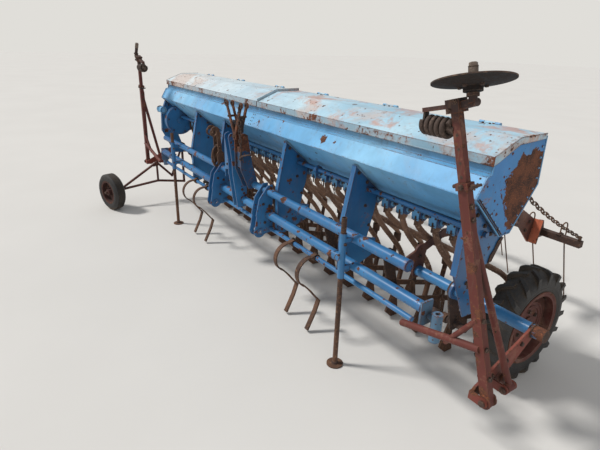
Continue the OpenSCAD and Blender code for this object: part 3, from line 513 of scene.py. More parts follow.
class Shape:
    """Points and faces of one visible piece, built up from simple forms."""

    def __init__(self):
        self.points = []
        self.faces = []

    def add(self, points, faces):
        start = len(self.points)
        self.points += [tuple(p) for p in points]
        self.faces += [tuple(start + i for i in f) for f in faces]

    def rings(self, rings, closed=False):
        n = len(rings[0])
        faces = []
        last = len(rings) if closed else len(rings) - 1
        for i in range(last):
            j = (i + 1) % len(rings)
            faces += [(i * n + k, i * n + (k + 1) % n, j * n + (k + 1) % n, j * n + k) for k in range(n)]
        if not closed:
            faces.append(tuple(range(n - 1, -1, -1)))
            faces.append(tuple((len(rings) - 1) * n + k for k in range(n)))
        self.add([p for ring in rings for p in ring], faces)

    def sweep(self, path, section, closed=False, hint=(0, 0, 1), sizes=None):
        """A flat section carried along a path without twist."""
        path = [Vector(p) for p in path]
        last = len(path) - 1
        rings, u = [], None
        for i, p in enumerate(path):
            before = path[i - 1] if i or closed else p
            after = path[(i + 1) % len(path)] if i < last or closed else p
            d = (after - before).normalized()
            if u is None:
                u, v = across(d, hint)
            else:
                u = (u - d * u.dot(d)).normalized()
                v = d.cross(u)
            size = sizes[i] if sizes else 1.0
            rings.append([p + (u * s + v * t) * size for s, t in section])
        self.rings(rings, closed)

    def tube(self, path, r, n=12, closed=False, sizes=None):
        self.sweep(path, circle(r, n), closed, sizes=sizes)

    def lathe(self, profile, at, axis, n=32):
        """A closed profile of (radius, height) turned about an axis."""
        d = Vector(axis).normalized()
        u, v = across(d)
        rings = []
        for a in angles(n):
            out = turned(u, v, a)
            rings.append([Vector(at) + out * r + d * h for r, h in profile])
        self.rings(rings, closed=True)

    def cylinder(self, a, b, r, n=16):
        self.tube([a, b], r, n)

    def slab(self, outline, at, u, v, thick):
        """A flat outline in the plane of u and v, thick along their cross."""
        at, u, v = Vector(at), Vector(u), Vector(v)
        w = u.cross(v).normalized() * thick / 2
        self.rings([[at + u * s + v * t + w * face for s, t in outline] for face in (-1, 1)])

    def block(self, low, high):
        (a, b, c), (d, e, f) = low, high
        self.slab([(a, b), (d, b), (d, e), (a, e)], (0, 0, (c + f) / 2), (1, 0, 0), (0, 1, 0), f - c)

    def bolt(self, at, axis, size=0.013):
        """Hexagon head on a washer, with a rounded crown; size is the thread."""
        d = Vector(axis).normalized()
        at = Vector(at)
        turn = (at.x * 37 + at.y * 91 + at.z * 53) % 1.0
        u, v = across(d)
        self.lathe(band(0.0004, size * 1.05, -0.001, size * 0.16), at, d, 16)
        head = []
        for h, r in ((0, 0.98), (0.12, 1.0), (0.56, 1.0), (0.7, 0.88)):
            head.append([at + d * size * (0.14 + h) + turned(u, v, a) * size * 0.9 * r
                         for a in [turn + math.pi * k / 3 for k in range(6)]])
        self.rings(head)

    def weld(self, at, axis, r, arc=(0, 360)):
        """A rippled bead round a tube where it meets a plate."""
        d = Vector(axis).normalized()
        u, v = across(d)
        n, bead, rings = 40, 0.0035, []
        for k in range(n):
            a = math.radians(arc[0] + (arc[1] - arc[0]) * k / n)
            out = turned(u, v, a)
            b = bead * (0.82 + 0.18 * math.sin(k * 2.4) + 0.08 * math.sin(k * 5.1))
            rings.append([Vector(at) + out * (r + b * 0.5 + b * math.cos(t)) + d * b * math.sin(t)
                          for t in angles(6)])
        self.rings(rings, closed=True)

    def link(self, at, along, side, length, wide, wire):
        """One chain link: an oval ring of wire."""
        along, side = Vector(along).normalized(), Vector(side).normalized()
        path = []
        straight = (length - wide) / 2
        for a in angles(14, 0.5):
            c, s = math.cos(a), math.sin(a)
            up_link = s * wide / 2 + math.copysign(straight, s)
            path.append(Vector(at) + along * up_link + side * c * wide / 2)
        self.tube(path, wire, 6, closed=True)

    def chain(self, path, pitch, wide, wire):
        """Links set along a path, each turned a quarter from the last."""
        path = [Vector(p) for p in path]
        steps = [(b - a).length for a, b in zip(path, path[1:])]
        total = sum(steps)
        count = max(2, round(total / pitch))
        for i in range(count):
            want, k = total * (i + 0.5) / count, 0
            while want > steps[k]:
                want -= steps[k]
                k += 1
            d = (path[k + 1] - path[k]).normalized()
            u, v = across(d, (0.3, 0.2, 1))
            side = (u + v).normalized() if i % 2 else (u - v).normalized()
            self.link(path[k] + d * want, d, side, total / count + 2.2 * wire, wide, wire)

    def make(self, name, slot, body="frame", look=None, stands_for=(), bevel=0.0):
        """The piece's object; slot is its finish in the record, look a material other than that one."""
        mesh = bpy.data.meshes.new(name)
        mesh.from_pydata([tuple(p) for p in self.points], [], self.faces)
        mesh.validate()
        mesh.materials.append(look or MATERIALS[slot])
        mesh.polygons.foreach_set("use_smooth", [True] * len(mesh.polygons))
        mesh.set_sharp_from_angle(angle=math.radians(35))
        o = bpy.data.objects.new(name, mesh)
        scene.collection.objects.link(o)
        clean = bmesh.new()
        clean.from_mesh(mesh)
        bmesh.ops.recalc_face_normals(clean, faces=clean.faces)
        clean.to_mesh(mesh)
        clean.free()
        if bevel:
            edge = o.modifiers.new("edges", "BEVEL")
            edge.width = bevel
            edge.segments = 2
            edge.limit_method = "ANGLE"
            edge.angle_limit = math.radians(40)
        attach(o, body)
        if stands_for:
            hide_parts(*stands_for)
        return o


# The part's own sizes, in metres, repeated from its source

SIDES = {"left": -1, "right": 1}
X, Y, Z = Vector((1, 0, 0)), Vector((0, 1, 0)), Vector((0, 0, 1))
ROWS = [(i - 14.5) * 0.12 for i in range(30)]
UNIT_Y, UNIT_HALF, METER_Z = -0.462, 0.031, 0.948
FEET = (-0.150, 0.165)
UPPER = (-0.790, 0.820)
LOWER = (-0.7945, 0.655)
BOTTOM = (-0.780, 0.545)
BEAM = (-0.485, 0.632)
UPPER_R, LOWER_R, BOTTOM_R, BEAM_R = 0.025, 0.0295, 0.015, 0.030
SLEEVE, WELD_OUT = (0.830, 1.746), 0.0005
PLATES, PLATE_HALF = [-1.978, -1.080, -0.480, 0.480, 1.200, 1.978], 0.003
HANGERS = [-1.800, -1.320, -0.720, 0.0, 0.720, 1.320, 1.800]
PIVOT = (-0.425, 0.400)
LINK_X, LINK_FACE, LINK_HOLE = 0.38, 0.0383, (-0.868, 0.535)
MAST_FACE, MAST_HOLE = 0.0385, (-0.880, 1.145)
WHEEL_X, WHEEL_R = 1.948, 0.340
HINGE_X, HINGE_Y, HINGE_Z = 2.300, -0.855, 0.460
LEAN, FORWARD = math.tan(math.radians(14.9)), math.tan(math.radians(4))
RISE = 1.180 * math.cos(math.radians(14.9))
HARROW_Z, HARROW_BARS, TINE_PITCH = 0.600, ((0.800, 15), (1.080, 9)), 0.24
HARROW_ARM_X, HARROW_ARM_FACE = 1.55, 0.0062
STAND_X, STAND_Y = 1.340, -0.868


def post_at(h, side=1):
    """A place on a marker post, by its height over the hinge."""
    return Vector((side * (HINGE_X - h * LEAN), HINGE_Y - h * FORWARD, HINGE_Z + h))


# In the sections below, s is the main piece and f its fixings.

# Seed tubes, wound from steel strip

TUBE_TOP, TUBE_BEND, TUBE_END, TUBE_FOOT = 0.904, 0.872, 0.452, 0.407
s = Shape()
for i, x in enumerate(ROWS):
    foot = FEET[i % 2]
    path = [(x, UNIT_Y, TUBE_TOP)]
    for k in range(6):
        t = k / 5
        reach = t * (1 + t * (3 - 2 * t)) / 2
        path.append((x, UNIT_Y + (foot - UNIT_Y) * reach, TUBE_BEND + (TUBE_END - TUBE_BEND) * t))
    path.append((x, foot, TUBE_FOOT))
    path = smooth_path(path, 12)
    sizes = [1.0 if (k + i) % 3 else 0.9 for k in range(len(path))]
    s.tube(path, 0.0178, 12, sizes=sizes)
    s.lathe([(0.0185, -0.012), (0.0225, -0.012), (0.0235, 0.014), (0.0185, 0.014)],
            (x, UNIT_Y, TUBE_TOP + 0.001), Z, 16)
s.make("wound_seed_tubes", "rusty_steel", look=MATERIALS["tube_steel"], stands_for=["seed_tubes"])

# Metering units: shutters, caps, bolts and clips

METER_CAP = [(0.0004, 0), (0.019, 0), (0.019, 0.006), (0.015, 0.010), (0.0004, 0.011)]
face = UNIT_Y - 0.034
s, t, f = Shape(), Shape(), Shape()
for x in ROWS:
    s.slab([(-0.026, -0.03), (0.026, -0.03), (0.026, 0.036), (0.012, 0.05), (-0.012, 0.05), (-0.026, 0.036)],
           (x, face - 0.0022, METER_Z), X, Z, 0.004)
    for way in (1, -1):
        s.lathe(METER_CAP, (x + way * UNIT_HALF, UNIT_Y, METER_Z), X * way, 20)
    for dx in (-0.018, 0.018):
        f.bolt((x + dx, face - 0.004, METER_Z + 0.022), -Y, 0.006)
    f.bolt((x - 0.022, UNIT_Y - 0.0385, 0.99), -Z, 0.006)
    t.slab([(-0.004, 0), (0.004, 0), (0.006, -0.055), (-0.006, -0.055)],
           (x + 0.004, face - 0.006, METER_Z - 0.004), X, Z, 0.003)
    t.tube(smooth_path([(x - 0.02, face - 0.007, METER_Z - 0.018), (x, face - 0.016, METER_Z - 0.024),
                        (x + 0.02, face - 0.007, METER_Z - 0.018)], 5), 0.002, 6)
s.make("metering_faces", "pale_blue_paint", bevel=0.001)
t.make("metering_shutters", "rusty_steel")
f.make("metering_bolts", "rusty_steel")

# Seed box: hems, rivets, ribs, bolts

s, f = Shape(), Shape()
for x in [i * 0.12 for i in range(-16, 17)]:
    f.bolt((x, -0.4985, 1.0005), -Z, 0.007)
    f.bolt((x, -0.4305, 1.0005), -Z, 0.007)
STRIP_TOP, STRIP_FOOT = Vector((0, -0.668, 1.308)), Vector((0, -0.723, 1.219))
down = (STRIP_FOOT - STRIP_TOP).normalized()
out = Vector((0, down.z, -down.y))
for x in (-1.97, -0.012, 0.012, 1.97):
    for k in range(4):
        p = X * x + STRIP_TOP + down * (0.014 + 0.026 * k)
        f.lathe([(0.0003, 0), (0.0052, 0), (0.0036, 0.0022), (0.0003, 0.003)], p + out * 0.0014, out, 12)
for y, z, r in ((-0.7243, 1.2178, 0.0035), (-0.6692, 1.3085, 0.0028)):
    s.tube([(-1.995, y, z), (1.995, y, z)], r, 8)
for x in (-1.5, -0.5, 0.5, 1.5):
    s.slab([(-0.04, 0), (0.04, 0), (0.03, 0.19), (-0.03, 0.19)], (x, -0.2775, 1.235), X, (0, -0.04, 1), 0.008)
section = [(-0.641, 1.388), (-0.646, 1.316), (-0.673, 1.308), (-0.728, 1.219), (-0.505, 1.0085),
           (-0.425, 1.0085), (-0.268, 1.223), (-0.279, 1.449)]
for side in (-1, 1):
    s.tube([(side * 2.0005, y, z) for y, z in section], 0.0036, 8)
    for gap in (0.008, 0.019):
        f.tube([(side * 2.003, y + gap, z + gap * 0.3) for y, z in ((-0.722, 1.212), (-0.508, 1.010))],
               0.0021, 8)
    for (a, b), count in ((((-0.723, 1.219), (-0.5, 1.01)), 5), (((-0.43, 1.01), (-0.273, 1.223)), 5),
                          (((-0.273, 1.23), (-0.284, 1.44)), 4)):
        for k in range(count):
            w = (k + 0.5) / count
            y, z = a[0] + (b[0] - a[0]) * w, a[1] + (b[1] - a[1]) * w
            inward = Vector((0, -0.47 - y, 1.25 - z)).normalized() * 0.018
            s.bolt(Vector((side * 2.0, y, z)) + inward, X * side, 0.006)
s.make("seed_box_hems", "pale_blue_paint")
f.make("seed_box_bolts", "dark_rust")

LID = [(-0.657, 1.392), (-0.491, 1.458), (-0.293, 1.460)]
for name, side in SIDES.items():
    s = Shape()
    x0, x1 = side * 0.006, side * 2.0075
    s.tube([(x0, -0.6565, 1.3555), (x1, -0.6565, 1.3555)], 0.0042, 8)
    rim = [Vector((x1, y, z + 0.0022)) for y, z in LID]
    s.sweep(rim, rect(0.002, 0.0025))
    if side > 0:
        strip = [Vector((0.018, y, z + 0.0024)) for y, z in LID]
        s.sweep(strip, rect(0.018, 0.0009), hint=(1, 0, 0.01))
    s.make("lid_hems_" + name, "pale_blue_paint", "lid_" + name, look=LID_PAINT, bevel=0.0006)
    f = Shape()
    for x in (0.3, 1.0, 1.7):
        for dx in (-0.02, 0.02):
            f.bolt((side * x + dx, -0.302, 1.4618), Z, 0.006)
    f.make("lid_bolts_" + name, "dark_rust", "lid_" + name)

# Support plates: welds at the tubes, bolts to the seed box, scale on the rear edges of the end plates

s, f = Shape(), Shape()
for x in PLATES:
    end = abs(x) > 1.9
    for side in (-1, 1):
        px = x + side * PLATE_HALF
        s.weld((px, *BEAM), X, BEAM_R + WELD_OUT, arc=(125, 235) if end else (100, 260))
        if not end:
            sleeve = 0.006 if SLEEVE[0] < x < SLEEVE[1] else 0.0
            for place, r in ((UPPER, UPPER_R + sleeve), (LOWER, LOWER_R), (BOTTOM, BOTTOM_R)):
                s.weld((px, *place), X, r + WELD_OUT, arc=(-60, 130))
        if end and side == x / abs(x):
            f.slab([(-0.434, 0.982), (-0.497, 0.871), (-0.522, 0.868), (-0.514, 0.905), (-0.488, 0.934),
                    (-0.478, 0.962), (-0.458, 0.984)],
                   (px + side * 0.0025, 0, 0), Y, Z, 0.005)
        for y, z in ((-0.668, 1.135), (-0.600, 1.072), (-0.545, 1.022), (-0.600, 0.93),
                     (-0.66 if end else -0.56, 0.80)):
            f.bolt((px, y, z), X * side, 0.010)
s.make("frame_welds", "blue_paint")
f.make("frame_bolts", "dark_rust")

# Coulter bar hangers, pivots and pressure springs

s, f = Shape(), Shape()
for i, x in enumerate(ROWS):
    foot = FEET[i % 2]
    hang = Vector((x, (PIVOT[0] + foot) / 2 - 0.02, 0.318 if foot < 0 else 0.322))
    eye_top = hang + Vector((0, 0, 0.12))
    s.tube(helix(hang + Vector((0, 0, 0.008)), Z, 0.013, 0.0085, 11, 10), 0.0028, 6)
    s.cylinder(hang + Vector((0, 0, -0.012)), eye_top, 0.0045, 8)
    f.bolt(eye_top, Z, 0.007)
    f.bolt((x + 0.0165, *PIVOT), X, 0.008)
    for way in (1, -1):
        f.bolt((x + way * 0.0055, foot - 0.045, 0.245), X * way, 0.008)
s.make("coulter_springs", "rusty_steel")
f.make("coulter_bolts", "dark_rust")
f = Shape()
for x in HANGERS:
    for side in (-1, 1):
        f.weld((x + side * 0.005, *BEAM), X, BEAM_R + WELD_OUT)
        f.bolt((x + side * 0.005, PIVOT[0], PIVOT[1] + 0.036), X * side, 0.008)
f.make("hanger_welds", "dark_rust")

# Hitch: collars round the pin holes, bolts, changeover gear

s, f = Shape(), Shape()
for side in (-1, 1):
    for end in (-1, 1):
        px = side * LINK_X + end * LINK_FACE
        s.lathe(band(0.0148, 0.026, 0, 0.005), (px, *LINK_HOLE), X * end, 24)
        for y, z in ((-0.828, 0.60), (-0.84, 0.74), (-0.79, 0.72)):
            f.bolt((px, y, z), X * end, 0.010)
for side in (-1, 1):
    px = side * MAST_FACE
    s.lathe(band(0.0132, 0.025, 0, 0.004), (px, *MAST_HOLE), X * side, 28)
    for y, z in ((-0.856, 1.02), (-0.845, 0.93), (-0.81, 0.74)):
        f.bolt((px, y, z), X * side, 0.010)
for x, z in ((-0.17, 1.07), (-0.17, 0.90), (-0.10, 1.04), (-0.10, 0.92)):
    f.bolt((x, -0.8315, z), -Y, 0.009)
s.make("hitch_collars", "blue_paint")
f.make("hitch_bolts", "dark_rust")

s = Shape()
for y in (-0.896, -0.852):
    for ex, ez in ((-0.008, 1.388), (0.212, 1.394)):
        for side in (-1, 1):
            s.lathe(band(0.0102, 0.019, 0, 0.003), (ex, y + side * 0.005, ez), Y * side, 24)
    s.bolt((0.11, y - 0.0055, 1.17), -Y, 0.014)
for x, z in ((0.03, 1.305), (0.178, 1.315)):
    s.tube([(x, -0.908, z), (x, -0.838, z)], 0.008, 10)
s.tube(helix((0.150, -0.868, 1.205), (0.10, 0.0, 1.0), 0.017, 0.0098, 11, 12), 0.0038, 6)
s.tube(helix((0.082, -0.868, 1.200), (-0.28, 0.0, 1.0), 0.015, 0.0092, 9, 12), 0.0034, 6)
s.chain([(0.212, -0.912, 1.386), (0.222, -0.915, 1.25), (0.226, -0.912, 1.12), (0.214, -0.902, 1.02)],
        0.030, 0.020, 0.0032)
for x, z in ((0.11, 1.08), (0.19, 1.08), (0.11, 0.98), (0.19, 0.98)):
    s.bolt((x, -0.8845, z), -Y, 0.009)
lever = [(0.19, -0.905, 1.02), (0.25, -0.915, 1.055), (0.31, -0.905, 1.075), (0.325, -0.88, 1.078)]
s.tube(smooth_path(lever, 5), 0.0055, 8)
s.make("changeover_details", "dark_rust")

# Linkage hooks: collars and a bent rod

s = Shape()
for x in (-0.44, -0.366):
    for side in (-1, 1):
        s.lathe(band(0.0215, 0.033, 0, 0.003), (x + side * 0.005, -0.850, 1.114), X * side, 24)
s.tube([(-0.46, -0.806, 1.00), (-0.346, -0.806, 1.00)], 0.008, 10)
rod = [(-0.403, -0.806, 1.0), (-0.403, -0.842, 0.97), (-0.40, -0.858, 0.90), (-0.398, -0.842, 0.845),
       (-0.396, -0.82, 0.83)]
s.tube(smooth_path(rod, 6), 0.0095, 10)
s.make("hook_details", "rusty_steel")

# Main wheels: lugged tyres, rim rings and wheel bolts

def lugged_tyre(name, side):
    s = Shape()
    at = Vector((side * WHEEL_X, 0, WHEEL_R))
    half, lugs, slant = 0.0765, 18, 0.168
    tops = [0.3395] * 5 + [0.338, 0.331, 0.313, 0.296]
    feet = [0.316] * 5 + [0.302, 0.288, 0.275, 0.266]
    side_wall = [(0.203, 0.058), (0.218, 0.066), (0.240, 0.074), (0.266, half), (0.289, 0.073),
                 (0.307, 0.062), (0.318, 0.040), (0.323, 0.015)]
    profile = [(r, -w) for r, w in side_wall] + side_wall[::-1]
    s.lathe(profile, at, X, 96)
    for r, w in ((0.226, 0.0705), (0.249, 0.0755)):
        for e in (-1, 1):
            s.lathe([(r, e * (w - 0.003)), (r + 0.004, e * (w + 0.0018)), (r + 0.008, e * (w - 0.002))],
                    at, X, 96)
    for start in angles(lugs):
        for e in (-1, 1):
            offset = math.pi / lugs if e > 0 else 0
            rings = []
            for k, (top, foot) in enumerate(zip(tops, feet)):
                w = -0.004 + 0.0785 * k / 6 if k <= 6 else 0.0745 + 0.001 * (k - 6)
                turn = start + offset + slant * max(0.0, w / half) ** 1.15
                width = (0.026 + 0.010 * k / 8) / WHEEL_R / 2
                rings.append([at + X * (e * w) + turned(Y, Z, turn + width * share) * r
                              for share, r in ((-1.25, foot), (-0.85, top), (0.85, top), (1.25, foot))])
            s.rings(rings)
    s.make("lugged_tyre_" + name, "tyre_rubber", "wheel_" + name, stands_for=["tyre_" + name], bevel=0.002)


def wheel_details(name, side):
    at = Vector((side * WHEEL_X, 0, WHEEL_R))
    s = Shape()
    for e in (-1, 1):
        s.lathe([(0.205, e * 0.0615), (0.221, e * 0.0665), (0.2255, e * 0.0725), (0.221, e * 0.0765),
                 (0.204, e * 0.070)], at, X, 72)
    outer = X * side
    h = 0.0285
    for r in (0.141, 0.116):
        s.lathe([(r - 0.007, h), (r + 0.006, h), (r + 0.004, h + 0.006), (r, h + 0.008),
                 (r - 0.004, h + 0.006)], at, outer, 72)
    s.lathe([(0.150, 0.003), (0.1965, 0.003), (0.1965, 0.022), (0.190, 0.022), (0.184, 0.012), (0.172, 0.009),
             (0.160, 0.012), (0.150, 0.016)], at, outer, 72)
    s.lathe([(0.0006, 0.040), (0.030, 0.040), (0.030, 0.056), (0.024, 0.066), (0.0006, 0.069)],
            at + outer * 0.012, outer, 40)
    s.make("rim_rings_" + name, "red_paint", "wheel_" + name, look=RIM_PAINT)
    f = Shape()
    for a in angles(6, 0.5):
        f.bolt(at + outer * 0.0315 + turned(Y, Z, a) * 0.085, outer, 0.012)
    away = turned(Y, Z, 0.9)
    p = at + outer * 0.03 + away * 0.186
    f.tube([p, p + outer * 0.022 - away * 0.006], 0.004, 8)
    f.make("wheel_bolts_" + name, "dark_rust", "wheel_" + name)


for name, side in SIDES.items():
    lugged_tyre(name, side)
    wheel_details(name, side)

# Small outrigger wheel

at = Vector((-2.140, -1.330, 0.200))
axis = Vector((math.sin(math.radians(16)), -math.cos(math.radians(16)), 0))
s = Shape()
profile = [(0.122, -0.047), (0.135, -0.056), (0.158, -0.0615), (0.180, -0.057), (0.193, -0.044)]
tread = []
for w in (-0.036, -0.022, -0.008, 0.008, 0.022, 0.036):
    tread += [(0.1985, w - 0.0045), (0.2, w - 0.0035), (0.2, w + 0.0035), (0.1985, w + 0.0045),
              (0.1935, w + 0.0052), (0.1935, w + 0.0088)]
profile += tread[:-2] + [(0.193, 0.044), (0.180, 0.057), (0.158, 0.0615), (0.135, 0.056), (0.122, 0.047)]
s.lathe(profile, at, axis, 80)
s.make("ribbed_tyre", "tyre_rubber", "outrigger_wheel", stands_for=["small_tyre"])
s = Shape()
for e in (-1, 1):
    s.lathe([(0.113, e * 0.049), (0.128, e * 0.052), (0.129, e * 0.056), (0.113, e * 0.0545)], at, axis, 56)
s.lathe([(0.045, 0.004), (0.058, 0.004), (0.058, 0.010), (0.045, 0.014)], at, axis, 40)
s.make("small_rim_rings", "red_paint", "outrigger_wheel", look=SHADED_SMALL_RIM_PAINT)
s = Shape()
for a in angles(5):
    u, v = across(axis)
    s.bolt(at + turned(u, v, a) * 0.075 + axis * 0.004, axis, 0.010)
s.make("small_wheel_bolts", "dark_rust", "outrigger_wheel")
s = Shape()
s.bolt(at + axis * 0.072, axis, 0.016)
s.make("outrigger_axle_nut", "dark_rust")

# Outrigger truss of round tube

TRUSS_X = -2.159


def truss(y, z):
    return Vector((TRUSS_X, y, z))


hub, top, low, rear = truss(-1.240, 0.200), truss(-0.800, 0.470), truss(-0.800, 0.250), truss(-0.630, 0.290)
base, beam = truss(BEAM[0], 0.200), truss(*BEAM)
s = Shape()
for a, b, r in ((hub, top, 0.0135), (hub, low, 0.0135), (low, top, 0.012), (low, base, 0.0135),
                (top, rear, 0.0128), (rear, beam, 0.0125), (base, beam, 0.0138)):
    s.cylinder(a, b, r, 20)
for p in (top, low, base, rear):
    s.lathe([(0.0003, -0.0145), (0.009, -0.0135), (0.0145, -0.006), (0.0145, 0.006), (0.009, 0.0135),
             (0.0003, 0.0145)], p, X, 20)
s.cylinder(hub - Z * 0.06, hub + Z * 0.06, 0.0215, 28)
s.lathe(band(0.0305, 0.044, -0.012, 0.012), beam, X, 36)
s.cylinder(at - axis * 0.1225, at + axis * 0.0725, 0.014, 24)
s.slab([(-0.045, -0.03), (0.02, -0.02), (0.02, 0.045), (-0.01, 0.04)], top - Z * 0.02, Y, Z, 0.006)
s.make("truss_tubes", "red_paint", look=TRUSS_PAINT, stands_for=["outrigger_frame"], bevel=0.0008)

# Markers: spring, collars, pins, disc hub

BRACKET_FACES = (2.2465, 2.2335)
for name, side in SIDES.items():
    body = "marker_" + name
    c = post_at(RISE - 0.076, side)
    x1 = c.x - side * 0.021
    s = Shape()
    s.tube(helix((x1 - side * 0.0115, c.y, c.z), (-side, 0, 0), 0.0295, 0.0245, 5, 24, 0.6), 0.0108, 12)
    s.cylinder((x1 + side * 0.006, c.y, c.z), (x1 - side * 0.146, c.y, c.z), 0.0195, 24)
    near, far = sorted((x1 - side * 0.146, x1 - side * 0.136))
    s.block((near, c.y - 0.012, c.z), (far, c.y + 0.012, c.z + 0.046))
    s.bolt((x1 - side * 0.146, c.y, c.z), (-side, 0, 0), 0.015)
    s.make("wound_spring_" + name, "rusty_steel", body, look=MATERIALS["coil_steel"],
           stands_for=["marker_coil_" + name], bevel=0.0008)
    s, f = Shape(), Shape()
    lean = (post_at(0.5, side) - post_at(0, side)).normalized()
    wide = Vector((1, 0, 0)) - lean * lean.x
    wide.normalize()
    deep = lean.cross(wide)
    join = post_at(0.865, side)
    for k in (-1, 1):
        f.tube([join + wide * k * 0.026, join + wide * k * 0.052], 0.008, 10)
        f.bolt(join + deep * k * 0.0222, deep * k, 0.011)
    f.tube([join + wide * 0.049 - deep * 0.028, join + wide * 0.049 + deep * 0.028], 0.006, 10)
    for h in (0.10, 0.225, 0.345, 0.74, 0.79):
        for k in (-1, 1):
            f.bolt(post_at(h, side) + wide * k * 0.0212, wide * k, 0.011)
    for h in (0.90, 0.95, 1.00, 1.05):
        f.lathe(band(0.0003, 0.0065, 0, 0.0006), post_at(h, side) - deep * 0.0142, -deep, 14)
    block = post_at(RISE + 0.010, side)
    for k in (-0.014, 0.014):
        for e in (-1, 1):
            f.bolt(block + lean * k + wide * k + deep * e * 0.0262, deep * e, 0.009)
    hinge = post_at(0, side)
    for k in (-1, 1):
        s.lathe(band(0.0103, 0.030, 0.0168, 0.0235), hinge, Y * k, 28)
    s.slab(band(-0.019, 0.019, 0.0, 0.10), post_at(0.72, side) + deep * 0.0192, wide, lean, 0.005)
    s.make("marker_collars_" + name, "red_paint", body, look=POST_PAINT, bevel=0.0008)
    f.make("marker_bolts_" + name, "dark_rust", body)
    f = Shape()
    for y, k in ((-0.894, -1), (-0.816, 1), (-0.750, -1), (-0.670, 1)):
        f.lathe([(0.0004, -0.001), (0.014, -0.001), (0.014, 0.004), (0.0004, 0.006)],
                (side * HINGE_X, y, HINGE_Z), Y * k, 20)
    for y, z in ((-0.57, 0.595), (-0.67, 0.547), (-0.76, 0.505)):
        f.bolt((side * BRACKET_FACES[0], y, z), X * side, 0.011)
    for x in BRACKET_FACES:
        f.weld((side * x, *BEAM), X, BEAM_R + WELD_OUT)
    f.make("hinge_pins_" + name, "dark_rust")

top = post_at(RISE)
hub = top + Vector((0.053, -0.001, 0.086))
axis = Vector((-0.25572, 0.10453, 0.96109))
u, v = across(axis)
s = Shape()
s.lathe([(0.0152, 0.026), (0.030, 0.024), (0.052, 0.008), (0.056, 0.0045), (0.0152, 0.010)], hub, axis, 40)
for a in angles(5):
    spot = hub + turned(u, v, a) * 0.047
    s.bolt(spot + axis * 0.0100, axis, 0.008)
    s.bolt(spot - axis * 0.0025, -axis, 0.008)
s.lathe(band(0.1385, 0.1422, 0.0118, 0.0162), hub, axis, 96)
s.make("disc_details", "dark_rust", "disc_right")
for name, side in SIDES.items():
    s = Shape()
    p = Vector((hub.x * side, hub.y, hub.z))
    a = Vector((axis.x * side, axis.y, axis.z))
    s.bolt(p + a * 0.0618, a, 0.017)
    s.lathe([(0.0148, 0.028), (0.0172, 0.028), (0.0172, 0.058), (0.0148, 0.060)], p, a, 28)
    s.make("spindle_nut_" + name, "worn_steel", "marker_" + name)
    s = Shape()
    s.lathe(band(0.0148, 0.022, -0.038, -0.027), p, a, 24)
    s.make("spindle_ring_" + name, "dark_rust", "marker_" + name)

# Harrow: sprung tines with coils, clamps, chains

s, f = Shape(), Shape()


def harrow_tine(x, y):
    hoop, rise = 0.042, HARROW_Z + 0.0585
    bend = [Vector((x, y + hoop - hoop * math.cos(a), rise + hoop * math.sin(a)))
            for a in [math.pi * k / 16 for k in range(17)]]
    leg = smooth_path([bend[-1], (x, y + 2 * hoop + 0.003, HARROW_Z),
                       (x, y + 2 * hoop + 0.010, HARROW_Z - 0.050), (x, y + 0.135, HARROW_Z - 0.150),
                       (x, y + 0.328, 0.018)], 6)
    s.tube([Vector((x, y, HARROW_Z + 0.0225))] + bend[:-1] + leg, 0.0048, 8)
    f.slab(rect(0.014, 0.028), (x, y, HARROW_Z + 0.0255), X, Y, 0.006)
    for k in (-1, 1):
        f.bolt((x, y + k * 0.017, HARROW_Z + 0.0283), Z, 0.007)


for y, count in HARROW_BARS:
    for i in range(count):
        harrow_tine((i - (count - 1) / 2) * TINE_PITCH, y)
s.make("sprung_tines", "rusty_steel", stands_for=["harrow_tines"])
f.make("tine_clamps", "dark_rust")

s = Shape()
for side in (-1, 1):
    x, y, z = side * 1.812, HARROW_BARS[0][0], HARROW_Z + 0.0225
    a, b = Vector((x, -0.256, 1.245)), Vector((x, y, z + 0.022))
    path = [a + (b - a) * (k / 20) - Z * 0.035 * math.sin(math.pi * k / 20) for k in range(21)]
    s.chain(path, 0.042, 0.026, 0.0038)
    s.slab(rect(0.022, 0.022), (x, -0.2655, 1.25), Y, Z, 0.008)
    s.slab(band(-0.012, 0.012, -0.002, 0.030), (x, y, z), Y, Z, 0.012)
s.make("chain_links", "rusty_steel", stands_for=["lift_chains"])

f = Shape()
for side in (-1, 1):
    for x in (-HARROW_ARM_X, HARROW_ARM_X):
        for y, z in ((-0.60, 0.705), (-0.34, 0.803), (-0.485, 0.720), (0.10, 0.798), (0.36, 0.786),
                     (0.60, 0.715), (0.56, 0.660), (0.76, 0.655), (0.75, 0.585)):
            f.bolt((x + side * HARROW_ARM_FACE, y, z), X * side, 0.012)
    for x in (-0.9, 0.9):
        for y in (0.838, 1.042):
            f.bolt((x + side * HARROW_ARM_FACE, y, HARROW_Z), X * side, 0.012)
f.make("harrow_arm_bolts", "dark_rust")

# Track tines: layered springs with clamps

s, f = Shape(), Shape()
y, z = BOTTOM
for x in (-0.98, -0.72, 0.72, 0.98):
    cy, cz = y - 0.040, z - 0.090
    arc = [Vector((x, cy + 0.1 * math.cos(a), cz + 0.1 * math.sin(a)))
           for a in [math.radians(84 + 7.0 * k) for k in range(24)]]
    flat = rect(0.017, 0.0048)
    path = [(x, y, z + 0.0215), (x, y - 0.025, z + 0.0135)] + arc
    path += [(x, y - 0.04, z - 0.225), (x, y + 0.036, z - 0.322)]
    s.sweep(path, flat, hint=(0, 0.2, 1))
    s.sweep([(x, y + 0.040, z - 0.318), (x, y + 0.012, z - 0.40), (x, y - 0.050, 0.020)],
            rect(0.017, 0.0065), hint=(0, 1, 0.1))
    s.lathe(band(0.0155, 0.0248, -0.017, 0.017), (x, y, z), X, 28)
    for side in (-1, 1):
        f.bolt((x + side * 0.008, y + 0.006, z + 0.0265), Z, 0.008)
    f.bolt((x, y + 0.028, z - 0.312), (0, 0.8, 0.55), 0.010)
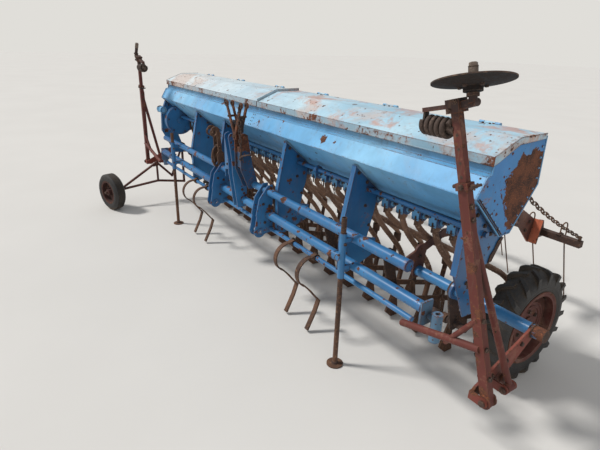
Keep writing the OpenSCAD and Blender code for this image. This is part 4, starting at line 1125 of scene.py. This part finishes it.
s.make("leaf_tines", "rusty_steel", stands_for=["track_tines"], bevel=0.0012)
f.make("leaf_tine_bolts", "dark_rust")

# Drive side, a small pale drum beside it, and tube ends

DRIVE = Vector((-1.83, -0.61, 0.99))
DRUM = (-1.925, -0.762, 1.098)
s, f = Shape(), Shape()
s.lathe(band(0.138, 0.149, 0.0295, 0.034), DRIVE, X, 64)
for a in angles(6):
    f.bolt(DRIVE + X * 0.0305 + turned(Y, Z, a + 0.9) * 0.125, X, 0.008)
s.lathe([(0.0003, 0.029), (0.030, 0.029), (0.026, 0.040), (0.0003, 0.042)], DRIVE, X, 32)
p = Shape()
p.lathe(band(0.030, 0.036, -0.060, 0.060), DRUM, X, 36)
p.lathe(band(0.0004, 0.0305, -0.056, 0.048), DRUM, X, 36)
p.slab(band(-0.03, 0.055, -0.03, 0.03), (-1.972, -0.762, 1.098), Y, Z, 0.006)
p.make("pale_drum", "pale_blue_paint", bevel=0.0008)
for place, r, ends in ((UPPER, UPPER_R, (1.750, -1.780)), (LOWER, LOWER_R, (1.87, -1.87)),
                       (BOTTOM, BOTTOM_R, (1.8, -1.8)), (BEAM, BEAM_R, (2.3, -2.3))):
    r += 0.0002
    cap = [(0.0003, -0.002), (r * 0.84, -0.002), (r * 0.84, 0.0006), (r, 0.0006), (r, 0.0022),
           (r * 0.7, 0.0034), (0.0003, 0.0034)]
    for x, way in zip(ends, (X, -X)):
        (f if place == BEAM else s).lathe(cap, (x, *place), way, 28)
for x in SLEEVE:
    s.lathe([(0.0252, -0.004), (0.0325, -0.003), (0.0325, 0.003), (0.0252, 0.004)], (x, *UPPER), X, 36)
s.make("drive_trim", "blue_paint")
f.make("drive_bolts", "dark_rust")

# Stands: locking pins and rings

for name, side in SIDES.items():
    x = side * STAND_X
    f = Shape()
    f.tube([(x, STAND_Y - 0.03, 0.735), (x, STAND_Y + 0.03, 0.735)], 0.0058, 10)
    ring = [(x + 0.018 * math.cos(a), STAND_Y - 0.036 + 0.004 * math.sin(a), 0.722 + 0.018 * math.sin(a))
            for a in angles(20)]
    f.tube(ring, 0.0022, 6, closed=True)
    f.bolt((x + 0.0205, STAND_Y, 0.80), X, 0.009)
    f.make("stand_pin_" + name, "rusty_steel")
    s = Shape()
    s.lathe([(0.0152, 0.0), (0.022, 0.0), (0.018, 0.010), (0.0152, 0.016)], (x, STAND_Y, 0.008), Z, 24)
    for z in (0.30, 0.36, 0.42, 0.48, 0.54, 0.90):
        s.lathe(band(0.0003, 0.0055, 0, 0.0004), (x, STAND_Y - 0.0151, z), -Y, 12)
    s.make("stand_holes_" + name, "dark_rust", "stand_" + name)
